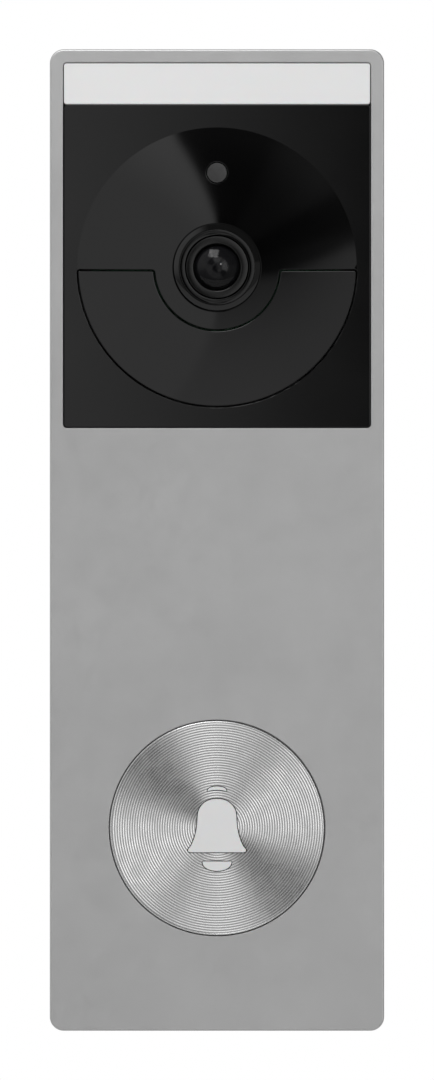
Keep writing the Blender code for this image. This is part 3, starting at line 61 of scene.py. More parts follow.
# outlines are lists of (x, z, normalX, normalZ), counter-clockwise seen from the front
def roundedOutline(width, height, radius, centre=(0.0, 0.0), steps=10):
    outline = []
    for corner, (sideX, sideZ) in enumerate(((1, -1), (1, 1), (-1, 1), (-1, -1))):
        for step in range(steps + 1):
            angle = math.pi / 2 * (corner - 1 + step / steps)
            nx, nz = math.cos(angle), math.sin(angle)
            x = centre[0] + sideX * (width / 2 - radius) + radius * nx
            z = centre[1] + sideZ * (height / 2 - radius) + radius * nz
            outline.append((x, z, nx, nz))
    return outline


def circleOutline(radius, centre=(0.0, 0.0), sides=192):
    outline = []
    for side in range(sides):
        nx, nz = math.cos(fullTurn * side / sides), math.sin(fullTurn * side / sides)
        outline.append((centre[0] + radius * nx, centre[1] + radius * nz, nx, nz))
    return outline


def outlineFromPoints(points):
    outline = []
    for index, here in enumerate(points):
        before, after = points[index - 1], points[(index + 1) % len(points)]
        first = Vector((here[1] - before[1], before[0] - here[0])).normalized()
        second = Vector((after[1] - here[1], here[0] - after[0])).normalized()
        normal = (first + second).normalized()
        outline.append((here[0], here[1], normal.x, normal.y))
    return outline


def addRing(mesh, outline, grow, depth):
    ring = []
    for x, z, nx, nz in outline:
        px, pz = x + nx * grow, z + nz * grow
        ring.append(mesh.verts.new((px, -(depth(px, pz) if callable(depth) else depth), pz)))
    return ring


def addWall(mesh, rings):
    for first, second in zip(rings, rings[1:]):
        for index in range(len(first)):
            after = (index + 1) % len(first)
            mesh.faces.new((first[index], first[after], second[after], second[index]))


# the rings of a rounded edge, from the face down to the wall; side is 1 on an outer edge, -1 round a hole
# the first ring lies on the flat face, so that the rounding doesn't tilt the shading of the face
def edgeRings(mesh, outline, side, radius, depth, steps=4, flatRim=0.04 * mm):
    rings = []
    for step in range(-1, steps + 1):
        angle = math.pi / 2 * max(step, 0) / steps
        grow = side * (radius * (math.sin(angle) - 1) - (flatRim if step < 0 else 0.0))
        drop = radius * (1 - math.cos(angle))
        if callable(depth):
            rings.append(addRing(mesh, outline, grow, lambda x, z: depth(x, z) - drop))
        else:
            rings.append(addRing(mesh, outline, grow, depth - drop))
    return rings


# whether a point lies inside an odd number of the loops
def isBetween(x, z, loops):
    inside = False
    for loop in loops:
        before = loop[-1].co
        for vert in loop:
            here = vert.co
            if (before.z > z) != (here.z > z):
                crossing = before.x + (here.x - before.x) * (z - before.z) / (here.z - before.z)
                inside = inside != (x < crossing)
            before = here
    return inside


# fills the space between loops of vertices with triangles: the first loop is outside, the others are holes
# extra points shape a curved sheet, and creases are lines that triangles don't cross; flat is in millimetres
def fillSheet(mesh, loops, depth, extra=(), creases=()):
    known = [vert for loop in loops for vert in loop]
    flat = [Vector((vert.co.x / mm, vert.co.z / mm)) for vert in known]
    edges = []
    start = 0
    for loop in loops:
        edges += [(start + i, start + (i + 1) % len(loop)) for i in range(len(loop))]
        start += len(loop)
    for line in creases:
        edges += [(len(flat) + i, len(flat) + i + 1) for i in range(len(line) - 1)]
        flat += [Vector((x / mm, z / mm)) for x, z in line]
    flat += [Vector((x / mm, z / mm)) for x, z in extra]
    places, _, faces, sources, _, _ = geometry.delaunay_2d_cdt(flat, edges, [], 0, 1e-6)
    verts = []
    for place, source in zip(places, sources):
        old = [index for index in source if index < len(known)]
        if old:
            verts.append(known[old[0]])
        else:
            x, z = place.x * mm, place.y * mm
            verts.append(mesh.verts.new((x, -(depth(x, z) if callable(depth) else depth), z)))
    for face in faces:
        x = sum(places[index].x for index in face) / len(face) * mm
        z = sum(places[index].y for index in face) / len(face) * mm
        if isBetween(x, z, loops):
            mesh.faces.new([verts[index] for index in face])


# a turned shape: profile points are (radius, depth), and radius 0 closes on the axis
# materialOf gives the material's place for each step of the profile
def lathe(mesh, profile, centre, sides, materialOf=None):
    rings = []
    for radius, depth in profile:
        if radius < 1e-7:
            rings.append([mesh.verts.new((centre[0], -depth, centre[1]))])
        else:
            rings.append(addRing(mesh, circleOutline(radius, centre, sides), 0.0, depth))
    for place, (first, second) in enumerate(zip(rings, rings[1:] + rings[:1])):
        if len(first) == 1 and len(second) == 1:
            continue
        for index in range(sides):
            after = (index + 1) % sides
            corners = [first[index % len(first)], first[after % len(first)]]
            corners += [second[after % len(second)], second[index % len(second)]]
            face = mesh.faces.new(list(dict.fromkeys(corners)))
            face.material_index = materialOf(place) if materialOf else 0


# rounds the corners of a profile, apart from those on the axis
def softProfile(profile, radius, steps=3):
    soft = []
    for index, here in enumerate(profile):
        before, after = Vector(profile[index - 1]), Vector(profile[(index + 1) % len(profile)])
        point = Vector(here)
        if here[0] == 0.0:
            soft.append(here)
            continue
        reach = min(radius, (before - point).length * 0.45, (after - point).length * 0.45)
        start = point + (before - point).normalized() * reach
        end = point + (after - point).normalized() * reach
        for step in range(steps + 1):
            share = step / steps
            bend = start.lerp(point, share).lerp(point.lerp(end, share), share)
            soft.append((bend.x, bend.y))
    return soft


# turns a mesh into a piece that rides on a body and stands for a CAD node
# its finish is the one of the node's slot, unless looksOn names others
def finishPiece(name, mesh, node, body="unit", looksOn=None, sharp=30.0):
    slot, weld = slotOf[node], 0.0001 * mm
    bmesh.ops.remove_doubles(mesh, verts=mesh.verts, dist=weld)
    bmesh.ops.dissolve_degenerate(mesh, dist=weld, edges=mesh.edges)
    bmesh.ops.recalc_face_normals(mesh, faces=mesh.faces)
    data = bpy.data.meshes.new(name)
    mesh.to_mesh(data)
    mesh.free()
    piece = bpy.data.objects.new(name, data)
    scene.collection.objects.link(piece)
    for look in looksOn or [slot]:
        data.materials.append(finishes[look])
    data.shade_smooth()
    data.set_sharp_from_angle(angle=math.radians(sharp))
    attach(piece, body)
    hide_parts(node)
    return piece


def wire(tree, source, target):
    tree.links.new(source, target)


# noise from low to high
def noiseValue(tree, place, scale, detail=2.0, low=0.0, high=1.0):
    grain = tree.nodes.new("ShaderNodeTexNoise")
    grain.inputs["Scale"].default_value = scale
    grain.inputs["Detail"].default_value = detail
    wire(tree, place, grain.inputs["Vector"])
    spread = tree.nodes.new("ShaderNodeMapRange")
    spread.inputs["From Min"].default_value = 0.3  # noise seldom leaves this range
    spread.inputs["From Max"].default_value = 0.7
    spread.inputs["To Min"].default_value = low
    spread.inputs["To Max"].default_value = high
    wire(tree, grain.outputs["Fac"], spread.inputs["Value"])
    return spread.outputs["Result"]


# colour varies between two tones, roughness with smudges, and the grain is a fine bump
def finish(name, look):
    material = bpy.data.materials.new(name)
    material.use_nodes = True
    tree = material.node_tree
    shader = tree.nodes["Principled BSDF"]
    place = tree.nodes.new("ShaderNodeTexCoord").outputs["Object"]
    colours = tree.nodes.new("ShaderNodeMix")
    colours.data_type = "RGBA"
    colours.inputs["A"].default_value = (*look["colour"], 1.0)
    colours.inputs["B"].default_value = (*look["second"], 1.0)
    wire(tree, noiseValue(tree, place, look["mottle"], 3.0), colours.inputs["Factor"])
    wire(tree, colours.outputs["Result"], shader.inputs["Base Color"])
    low, high = look["roughness"]
    wire(tree, noiseValue(tree, place, look["smudge"], 4.0, low, high), shader.inputs["Roughness"])
    bump = tree.nodes.new("ShaderNodeBump")
    bump.inputs["Strength"].default_value = look["bump"]
    bump.inputs["Distance"].default_value = look["grainDepth"]
    wire(tree, noiseValue(tree, place, look["grain"], 2.0), bump.inputs["Height"])
    wire(tree, bump.outputs["Normal"], shader.inputs["Normal"])
    shader.inputs["Metallic"].default_value = look.get("metallic", 0.0)
    for socket, value in look.get("more", {}).items():
        shader.inputs[socket].default_value = value
    return material


# mottle, smudge and grain are how fine each noise is, and grainDepth is in metres
looks = {
    "blasted_aluminium": dict(
        colour=(0.57, 0.57, 0.57), second=(0.54, 0.54, 0.54), mottle=60.0, roughness=(0.40, 0.46),
        smudge=300.0, grain=5200.0, grainDepth=0.00003, bump=0.16, metallic=1.0),
    "turned_aluminium": dict(
        colour=(0.82, 0.82, 0.82), second=(0.77, 0.77, 0.77), mottle=90.0, roughness=(0.24, 0.30),
        smudge=400.0, grain=2500.0, grainDepth=0.00001, bump=0.10, metallic=1.0),
    "gloss_black": dict(
        colour=(0.0012, 0.0012, 0.0013), second=(0.002, 0.002, 0.002), mottle=35.0, roughness=(0.045, 0.060),
        smudge=70.0, grain=900.0, grainDepth=0.000002, bump=0.02),
    "smoked_window": dict(
        colour=(0.0012, 0.0011, 0.0013), second=(0.002, 0.0018, 0.002), mottle=40.0, roughness=(0.055, 0.08),
        smudge=80.0, grain=900.0, grainDepth=0.000002, bump=0.02),
    # painted light: the emission is a glow that stands in for lamp light on the opal plastic
    "opal_plastic": dict(
        colour=(0.82, 0.82, 0.82), second=(0.80, 0.80, 0.80), mottle=40.0, roughness=(0.36, 0.44),
        smudge=200.0, grain=4000.0, grainDepth=0.00001, bump=0.05,
        more={"Subsurface Weight": 0.15, "Subsurface Scale": 0.001, "Emission Strength": 0.125,
              "Emission Color": (1.0, 1.0, 1.0, 1.0)}),
    "matt_black": dict(
        colour=(0.016, 0.016, 0.017), second=(0.024, 0.024, 0.025), mottle=120.0, roughness=(0.46, 0.60),
        smudge=500.0, grain=3200.0, grainDepth=0.00006, bump=0.35),
    "black_rubber": dict(
        colour=(0.018, 0.018, 0.018), second=(0.034, 0.034, 0.033), mottle=200.0, roughness=(0.75, 0.9),
        smudge=700.0, grain=2600.0, grainDepth=0.00005, bump=0.4),
    "circuit_board": dict(
        colour=(0.012, 0.085, 0.035), second=(0.03, 0.16, 0.07), mottle=700.0, roughness=(0.30, 0.5),
        smudge=900.0, grain=1800.0, grainDepth=0.00004, bump=0.3),
    "steel": dict(
        colour=(0.58, 0.58, 0.57), second=(0.50, 0.50, 0.48), mottle=160.0, roughness=(0.24, 0.36),
        smudge=600.0, grain=3000.0, grainDepth=0.00002, bump=0.15, metallic=1.0),
    "bracket_steel": dict(
        colour=(0.62, 0.62, 0.61), second=(0.50, 0.50, 0.50), mottle=110.0, roughness=(0.28, 0.42),
        smudge=240.0, grain=1500.0, grainDepth=0.00002, bump=0.2, metallic=1.0),
    "brass": dict(
        colour=(0.62, 0.46, 0.18), second=(0.52, 0.37, 0.14), mottle=200.0, roughness=(0.26, 0.38),
        smudge=500.0, grain=2500.0, grainDepth=0.00002, bump=0.15, metallic=1.0),
    "copper_wire": dict(
        colour=(0.60, 0.26, 0.12), second=(0.44, 0.17, 0.07), mottle=900.0, roughness=(0.30, 0.4),
        smudge=500.0, grain=5000.0, grainDepth=0.00008, bump=0.6, metallic=1.0),
    "sensor_glass": dict(
        colour=(0.03, 0.04, 0.10), second=(0.06, 0.05, 0.14), mottle=300.0, roughness=(0.06, 0.12),
        smudge=400.0, grain=2000.0, grainDepth=0.000005, bump=0.05),
    "led_white": dict(
        colour=(0.80, 0.77, 0.58), second=(0.70, 0.66, 0.42), mottle=600.0, roughness=(0.25, 0.35),
        smudge=400.0, grain=3000.0, grainDepth=0.00001, bump=0.1),
    "grey_paper": dict(
        colour=(0.15, 0.15, 0.15), second=(0.19, 0.19, 0.18), mottle=900.0, roughness=(0.75, 0.88),
        smudge=900.0, grain=2500.0, grainDepth=0.00008, bump=0.5),
    "red_plastic": dict(
        colour=(0.45, 0.05, 0.04), second=(0.38, 0.04, 0.03), mottle=300.0, roughness=(0.42, 0.52),
        smudge=500.0, grain=3500.0, grainDepth=0.00003, bump=0.2),
    "sensor_satin": dict(
        colour=(0.030, 0.030, 0.030), second=(0.036, 0.036, 0.036), mottle=500.0, roughness=(0.35, 0.45),
        smudge=900.0, grain=5000.0, grainDepth=0.00001, bump=0.2),
    "lens_satin": dict(
        colour=(0.002, 0.002, 0.002), second=(0.003, 0.003, 0.003), mottle=400.0, roughness=(0.14, 0.20),
        smudge=900.0, grain=5000.0, grainDepth=0.000005, bump=0.1),
    "lens_glass": dict(
        colour=(0.0010, 0.0010, 0.0012), second=(0.0018, 0.0018, 0.0020), mottle=120.0,
        roughness=(0.010, 0.025), smudge=300.0, grain=800.0, grainDepth=0.000001, bump=0.01,
        more={"Alpha": 0.8, "IOR": 1.33}),
    "lens_coat": dict(
        colour=(0.002, 0.002, 0.003), second=(0.003, 0.002, 0.004), mottle=300.0, roughness=(0.02, 0.05),
        smudge=300.0, grain=900.0, grainDepth=0.000001, bump=0.02, more={"Specular IOR Level": 0.05}),
    "barrel_black": dict(
        colour=(0.0015, 0.0015, 0.0015), second=(0.0022, 0.0022, 0.0022), mottle=400.0,
        roughness=(0.35, 0.45), smudge=900.0, grain=5000.0, grainDepth=0.000005, bump=0.1,
        more={"Specular IOR Level": 0.05}),
}
# painted light: the bell's glow, which stands in for lamp light, is a little weaker than the light bar's
looks["bell_opal"] = dict(
    looks["opal_plastic"], more={**looks["opal_plastic"]["more"], "Emission Strength": 0.075})
finishes = {name: finish(name, look) for name, look in looks.items()}

# the turned face reflects more across its rings than along them
turnedTree = finishes["turned_aluminium"].node_tree
ringWay = turnedTree.nodes.new("ShaderNodeTangent")
ringWay.direction_type = "RADIAL"
ringWay.axis = "Y"
turnedShader = turnedTree.nodes["Principled BSDF"]
turnedShader.inputs["Anisotropic"].default_value = 0.7
turnedShader.inputs["Anisotropic Rotation"].default_value = 0.25
wire(turnedTree, ringWay.outputs["Tangent"], turnedShader.inputs["Tangent"])


# painted shade: the turned grooves are darker in their hollows and lighter on their crests, in place of the
# shading of the fine grooves
def addPaintedGrooveShade(tree, shader, pitch, dark, centre):
    place = tree.nodes.new("ShaderNodeTexCoord").outputs["Object"]
    fromCentre = tree.nodes.new("ShaderNodeVectorMath")
    fromCentre.operation = "SUBTRACT"
    fromCentre.inputs[1].default_value = centre
    wire(tree, place, fromCentre.inputs[0])
    shadeRings = tree.nodes.new("ShaderNodeTexWave")
    shadeRings.wave_type = "RINGS"
    shadeRings.rings_direction = "Y"
    shadeRings.inputs["Scale"].default_value = fullTurn / 20 / pitch  # the texture's own waves are that long
    wire(tree, fromCentre.outputs["Vector"], shadeRings.inputs["Vector"])
    shade = tree.nodes.new("ShaderNodeMapRange")
    shade.inputs["To Min"].default_value = dark
    wire(tree, shadeRings.outputs["Fac"], shade.inputs["Value"])
    tinted = tree.nodes.new("ShaderNodeVectorMath")
    tinted.operation = "SCALE"
    wire(tree, shader.inputs["Base Color"].links[0].from_socket, tinted.inputs[0])
    wire(tree, shade.outputs["Result"], tinted.inputs["Scale"])
    wire(tree, tinted.outputs["Vector"], shader.inputs["Base Color"])


# pitch and centre of the turned grooves, and how dark the painted shade in their hollows gets
grooveShadeRings = dict(pitch=0.464 * mm, dark=0.42, centre=(0.0, 0.0, -53.4 * mm))
addPaintedGrooveShade(turnedTree, turnedShader, **grooveShadeRings)
print("finishes made:", len(finishes))

# every CAD node starts with the finish of its own slot
slotOf = {part["node"]: part["material_slot"] for part in frame["record"]["subparts"]}
for nodeName, node in frame["nodes"].items():
    node.data.materials.clear()
    node.data.materials.append(finishes[slotOf[nodeName]])

front = dict(
    openingWidth=57.1 * mm, openingHeight=67.8 * mm, openingTop=88.56 * mm, openingCorner=0.7 * mm,
    corner=2.6 * mm, edge=0.35 * mm, openingEdge=0.10 * mm, holeRadius=20.04 * mm, holeEdge=0.13 * mm,
    buttonZ=grooveShadeRings["centre"][2], wall=1.8 * mm, skirt=1.3 * mm)
plateLow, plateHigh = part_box("front_plate")


def makeFrontPlate():
    mesh = bmesh.new()
    width, height = plateHigh.x - plateLow.x, plateHigh.z - plateLow.z
    face, rear = -plateLow.y, -plateHigh.y
    inside = face - front["wall"]
    outer = roundedOutline(width, height, front["corner"], steps=12)
    inner = roundedOutline(
        width - 2 * front["skirt"], height - 2 * front["skirt"], front["corner"] - front["skirt"], steps=12)
    openingZ = front["openingTop"] - front["openingHeight"] / 2
    opening = roundedOutline(
        front["openingWidth"], front["openingHeight"], front["openingCorner"], (0.0, openingZ), steps=6)
    hole = circleOutline(front["holeRadius"], (0.0, front["buttonZ"]))
    outerRings = edgeRings(mesh, outer, 1, front["edge"], face, steps=6)
    outerRings.append(addRing(mesh, outer, 0.0, rear))
    outerRings.append(addRing(mesh, inner, 0.0, rear))
    outerRings.append(addRing(mesh, inner, 0.0, inside))
    addWall(mesh, outerRings)
    openingRings = edgeRings(mesh, opening, -1, front["openingEdge"], face, steps=3)
    openingRings.append(addRing(mesh, opening, 0.0, inside))
    addWall(mesh, openingRings)
    holeRings = edgeRings(mesh, hole, -1, front["holeEdge"], face, steps=4)
    holeRings.append(addRing(mesh, hole, 0.0, inside))
    addWall(mesh, holeRings)
    fillSheet(mesh, [outerRings[0], openingRings[0], holeRings[0]], face)
    fillSheet(mesh, [outerRings[-1], openingRings[-1], holeRings[-1]], inside)
    finishPiece("frontPlate", mesh, "front_plate")


makeFrontPlate()
print("front plate made")

camera = dict(
    z=50.6 * mm, dishRadius=25.9 * mm, collarRadius=8.05 * mm,
    rimSlope=math.radians(7.5), lensSlope=math.radians(5.7),
    panelStep=0.25 * mm, rear=21.9 * mm, gap=0.16 * mm, edge=0.08 * mm, barHeight=7.8 * mm,
    ringInner=11.7 * mm, ringDrop=0.55 * mm, ringCorner=0.5 * mm, groove=0.34 * mm, ringEdge=0.11 * mm,
    sensorRaise=17.55 * mm, sensorRadius=1.85 * mm, sensorGap=0.16 * mm, sensorEdge=0.15 * mm,
    barCorner=0.45 * mm, barEdge=0.12 * mm, collarGap=0.02 * mm,
    clearOfCollar=0.3 * mm, clearOfSensor=0.5 * mm, clearOfRing=0.55 * mm)
lensAt = (0.0, camera["z"])
sensorAt = (0.0, camera["z"] + camera["sensorRaise"])
panelFront = -plateLow.y - camera["panelStep"]
barBottom = front["openingTop"] - camera["barHeight"]


# the dish is a little steeper at its rim than beside the lens
def dishDepth(x, z):
    inward = max(0.0, camera["dishRadius"] - math.hypot(x, z - camera["z"]))
    change = (camera["rimSlope"] - camera["lensSlope"]) / (camera["dishRadius"] - camera["collarRadius"])
    return panelFront - inward * (camera["rimSlope"] - change * inward / 2)


# a rounded corner, added to an outline
def fan(outline, x, z, radius, startAngle, endAngle, steps=6):
    for step in range(steps + 1):
        angle = startAngle + (endAngle - startAngle) * step / steps
        nx, nz = math.cos(angle), math.sin(angle)
        outline.append((x + radius * nx, z + radius * nz, nx, nz))


# a level edge with points along it, so that the shading of the dish stays even beside it
def straight(outline, startX, endX, z, steps=40):
    for step in range(1, steps):
        outline.append((startX + (endX - startX) * step / steps, z, 0.0, 1.0))


# the lower half ring that hides the infrared lamps, with its corners rounded
def halfRingOutline(steps=160):
    corner = camera["ringCorner"]
    outer, inner = camera["dishRadius"] - corner, camera["ringInner"] + corner
    top = -camera["ringDrop"] - corner
    outerAngle, innerAngle = math.asin(-top / outer), math.asin(-top / inner)
    centreZ = camera["z"]
    outline = []
    outerX, innerX = outer * math.cos(outerAngle), inner * math.cos(innerAngle)
    fan(outline, -outerX, centreZ + top, corner, math.pi / 2, math.pi + outerAngle)
    for step in range(1, steps):
        angle = math.pi + outerAngle + (math.pi - 2 * outerAngle) * step / steps
        nx, nz = math.cos(angle), math.sin(angle)
        outline.append(((outer + corner) * nx, centreZ + (outer + corner) * nz, nx, nz))
    fan(outline, outerX, centreZ + top, corner, -outerAngle, math.pi / 2)
    straight(outline, outerX, innerX, centreZ + top + corner)
    fan(outline, innerX, centreZ + top, corner, math.pi / 2, math.pi - innerAngle)
    for step in range(1, steps):
        angle = -innerAngle - (math.pi - 2 * innerAngle) * step / steps
        nx, nz = -math.cos(angle), -math.sin(angle)
        outline.append((-(inner - corner) * nx, centreZ - (inner - corner) * nz, nx, nz))
    fan(outline, -innerX, centreZ + top, corner, innerAngle, math.pi / 2)
    straight(outline, -innerX, -outerX, centreZ + top + corner)
    return outline


halfRing = halfRingOutline()


# whether a point is in the half ring, or within spare of it
def inHalfRing(x, z, spare):
    radius = math.hypot(x, z - camera["z"])
    below = z < camera["z"] - camera["ringDrop"] + spare
    return below and camera["ringInner"] - spare < radius < camera["dishRadius"] + spare


# points round the lens that give the dish its slope
def polarPoints(keep, sides=144, rows=12):
    points = []
    for row in range(1, rows):
        radius = camera["collarRadius"] + (camera["dishRadius"] - camera["collarRadius"]) * row / rows
        for side in range(sides):
            angle = fullTurn * (side + 0.5 * (row % 2)) / sides
            x, z = radius * math.cos(angle), camera["z"] + radius * math.sin(angle)
            if keep(x, z):
                points.append((x, z))
    return points


def makeCameraPanel():
    mesh = bmesh.new()
    gap, edge, rear = camera["gap"], camera["edge"], camera["rear"]
    bottom = front["openingTop"] - front["openingHeight"] + gap
    top = barBottom - gap / 2
    centreZ = (bottom + top) / 2
    outer = roundedOutline(
        front["openingWidth"] - 2 * gap, top - bottom, front["openingCorner"] - gap, (0.0, centreZ), steps=6)
    collar = circleOutline(camera["collarRadius"] + camera["collarGap"], lensAt, 128)
    sensor = circleOutline(camera["sensorRadius"] + camera["sensorGap"], sensorAt, 48)
    grooveSide = camera["groove"] / 2
    ringEdge = [(x + nx * grooveSide, z + nz * grooveSide, nx, nz) for x, z, nx, nz in halfRing]
    faces, rears = [], []
    for outline, side in ((outer, 1), (collar, -1), (sensor, -1), (ringEdge, -1)):
        rings = edgeRings(mesh, outline, side, edge, dishDepth, steps=3)
        rings.append(addRing(mesh, outline, 0.0, rear))
        addWall(mesh, rings)
        faces.append(rings[0])
        rears.append(rings[-1])

    def isFree(x, z):
        radius = math.hypot(x, z - camera["z"])
        offCollar = radius > camera["collarRadius"] + camera["clearOfCollar"]
        offSensor = math.hypot(x, z - sensorAt[1]) > camera["sensorRadius"] + camera["clearOfSensor"]
        return offCollar and offSensor and not inHalfRing(x, z, camera["clearOfRing"])

    rimSteps, radius = 120, camera["dishRadius"]
    angles = [math.pi * step / rimSteps for step in range(rimSteps + 1)]
    rim = [(radius * math.cos(angle), camera["z"] + radius * math.sin(angle)) for angle in angles]
    fillSheet(mesh, faces, dishDepth, polarPoints(isFree), [rim])
    fillSheet(mesh, rears, rear)
    sharpenRim(finishPiece("cameraPanel", mesh, "window_panel"))


# keeps the low ridge where the dish meets the flat panel crisp
def sharpenRim(piece):
    verts = piece.data.vertices
    offRim, offFace = 0.001 * mm, 0.02 * mm
    for line in piece.data.edges:
        middle = (verts[line.vertices[0]].co + verts[line.vertices[1]].co) / 2
        ends = [math.hypot(verts[v].co.x, verts[v].co.z - camera["z"]) for v in line.vertices]
        onRim = all(abs(radius - camera["dishRadius"]) < offRim for radius in ends)
        if onRim and abs(-middle.y - panelFront) < offFace:
            line.use_edge_sharp = True


def makeInfraredWindow():
    mesh = bmesh.new()
    grooveSide = camera["groove"] / 2
    outline = [(x - nx * grooveSide, z - nz * grooveSide, nx, nz) for x, z, nx, nz in halfRing]
    rings = edgeRings(mesh, outline, 1, camera["ringEdge"], dishDepth, steps=4)
    rings.append(addRing(mesh, outline, 0.0, camera["rear"]))
    addWall(mesh, rings)
    inner = polarPoints(lambda x, z: inHalfRing(x, z, -0.6 * mm))  # well inside the edge
    fillSheet(mesh, [rings[0]], dishDepth, inner)
    fillSheet(mesh, [rings[-1]], camera["rear"])
    finishPiece("infraredWindow", mesh, "infrared_window")


def makeLightSensor():
    mesh = bmesh.new()
    low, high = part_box("light_sensor_window")
    radius, face = camera["sensorRadius"], -low.y
    profile = [(0.0, face), (radius, face), (radius, -high.y), (0.0, -high.y)]
    lathe(mesh, softProfile(profile, camera["sensorEdge"]), sensorAt, 64)
    finishPiece("lightSensorPipe", mesh, "light_sensor_window", looksOn=["sensor_satin"])


def makeLightBar():
    mesh = bmesh.new()
    gap = camera["gap"]
    rear = -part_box("light_bar_diffuser")[1].y
    bottom, top = barBottom + gap / 2, front["openingTop"] - gap
    width, middle = front["openingWidth"] - 2 * gap, (0.0, (bottom + top) / 2)
    outline = roundedOutline(width, top - bottom, camera["barCorner"], middle, steps=5)
    rings = edgeRings(mesh, outline, 1, camera["barEdge"], panelFront, steps=3)
    rings.append(addRing(mesh, outline, 0.0, rear))
    addWall(mesh, rings)
    fillSheet(mesh, [rings[0]], panelFront)
    fillSheet(mesh, [rings[-1]], rear)
    finishPiece("lightBar", mesh, "light_bar_diffuser")


makeCameraPanel()
makeInfraredWindow()
makeLightSensor()
makeLightBar()
print("camera panel, infrared window, sensor and light bar made")

lens = dict(
    sides=160, topDepth=24.785 * mm, collarTop=7.10 * mm, collarDrop=0.68 * mm,
    collarFoot=0.03 * mm, collarLean=0.02 * mm, collarCrown=0.06 * mm, collarEdge=0.07 * mm,
    grooveRadius=7.0 * mm, grooveHalf=0.03 * mm, grooveEnd=0.06 * mm, grooveDepth=0.30 * mm,
    bezelBore=5.97 * mm, retainerOuter=5.72 * mm, retainerInner=4.24 * mm, retainerDrop=0.05 * mm,
    retainerEdge=0.08 * mm, retainerCone=(0.25 * mm, 0.35 * mm),
    domeRadius=4.1 * mm, domeCurve=6.5 * mm, domeBackCurve=9.0 * mm)
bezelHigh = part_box("lens_bezel")[1]
domeLow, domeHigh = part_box("lens_dome")
barrelLow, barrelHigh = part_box("lens_barrel")


def makeLensBezel():
    mesh = bmesh.new()
    base = dishDepth(camera["collarRadius"], camera["z"])
    rear = -bezelHigh.y
    top = lens["topDepth"]
    groove = lens["grooveRadius"]
    profile = [
        (camera["collarRadius"], rear), (camera["collarRadius"], base - lens["collarFoot"]),
        (camera["collarRadius"] - lens["collarLean"], top - lens["collarDrop"]),
        (lens["collarTop"], top - lens["collarCrown"]),
        (groove + lens["grooveHalf"], top - lens["grooveDepth"]),
        (groove - lens["grooveHalf"], top - lens["grooveDepth"]), (groove - lens["grooveEnd"], top),
        (lens["bezelBore"], top), (lens["bezelBore"], rear)]
    lathe(mesh, softProfile(profile, lens["collarEdge"]), lensAt, lens["sides"])
    finishPiece("lensBezel", mesh, "lens_bezel")


def makeLensRetainer():
    mesh = bmesh.new()
    top = lens["topDepth"] - lens["retainerDrop"]
    rear = -bezelHigh.y
    coneWidth, coneDepth = lens["retainerCone"]
    profile = [
        (lens["retainerOuter"], rear), (lens["retainerOuter"], top), (lens["retainerInner"] + coneWidth, top),
        (lens["retainerInner"], top - coneDepth), (lens["retainerInner"], rear)]
    lathe(mesh, softProfile(profile, lens["retainerEdge"]), lensAt, lens["sides"])
    finishPiece("lensRetainer", mesh, "lens_retainer", looksOn=["lens_satin"])


# points of a domed face from its edge to the middle
def arcPoints(radius, curve, edgeDepth, rows):
    sink = math.sqrt(curve**2 - radius**2)
    points = []
    for row in range(rows + 1):
        here = radius * (1 - row / rows)
        points.append((here, edgeDepth + math.sqrt(curve**2 - here**2) - sink))
    return points


def makeDome():
    mesh = bmesh.new()
    radius = lens["domeRadius"]
    edgeDepth = -domeLow.y - (lens["domeCurve"] - math.sqrt(lens["domeCurve"]**2 - radius**2))
    frontArc = arcPoints(radius, lens["domeCurve"], edgeDepth, 16)
    rearArc = arcPoints(radius, lens["domeBackCurve"], -domeHigh.y, 12)
    lathe(mesh, frontArc + list(reversed(rearArc)), lensAt, 96)
    finishPiece("domeLens", mesh, "lens_dome")


# radius and sink of each step of the barrel's face, in mm, and the curved glass in its middle
barrel = dict(
    steps=((3.8, 0.0), (3.55, 0.0), (3.4, 0.2), (2.55, 0.2), (2.4, 0.35), (2.2, 0.35), (2.05, 0.9)),
    glassRadius=2.0 * mm, glassCurve=2.9 * mm, glassSink=1.3 * mm)


def makeBarrel():
    mesh = bmesh.new()
    face, rear = -barrelLow.y, -barrelHigh.y
    profile = [(0.0, rear), (barrel["steps"][0][0] * mm, rear)]
    profile += [(radius * mm, face - sink * mm) for radius, sink in barrel["steps"]]
    firstGlass = len(profile)
    profile += arcPoints(barrel["glassRadius"], barrel["glassCurve"], face - barrel["glassSink"], 10)
    lathe(mesh, profile, lensAt, 96, materialOf=lambda place: 1 if place >= firstGlass else 0)
    finishPiece("lensBarrel", mesh, "lens_barrel", looksOn=["barrel_black", "lens_coat"])


makeLensBezel()
makeLensRetainer()
makeDome()
makeBarrel()
print("lens made")

bell = dict(
    radius=19.85 * mm, pitch=grooveShadeRings["pitch"], grooveDepth=0.054 * mm, rim=0.22 * mm, sides=256,
    skirt=2.4 * mm, skirtWall=2.3 * mm, faceWall=1.8 * mm, sharp=4.0, iconGap=0.17 * mm,
    guideEdge=0.05 * mm, guideBase=1.1 * mm, guideRadius=8.8 * mm, guideBaseEdge=0.1 * mm, guideRoot=0.2 * mm,
    top=5.4 * mm, bottom=-4.5 * mm, lip=5.4 * mm, shoulder=3.6 * mm, domeHeight=3.3 * mm,
    lipCorner=((0.42 * mm, 0.0), (0.12 * mm, 0.10 * mm), (0.0, 0.34 * mm), (0.10 * mm, 0.62 * mm)),
    lipTop=(0.3 * mm, 0.7 * mm), flarePower=2.6, flareShare=0.82, domePower=0.9,
    crownHalf=1.77 * mm, crownTop=7.7 * mm, crownHeight=0.85 * mm, crownArch=0.22 * mm,
    clapperHalf=2.7 * mm, clapperTop=-6.2 * mm, clapperHeight=1.75 * mm)
bellAt = (0.0, front["buttonZ"])
capLow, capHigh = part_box("bell_button_cap")
guideLow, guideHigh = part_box("bell_light_guide")


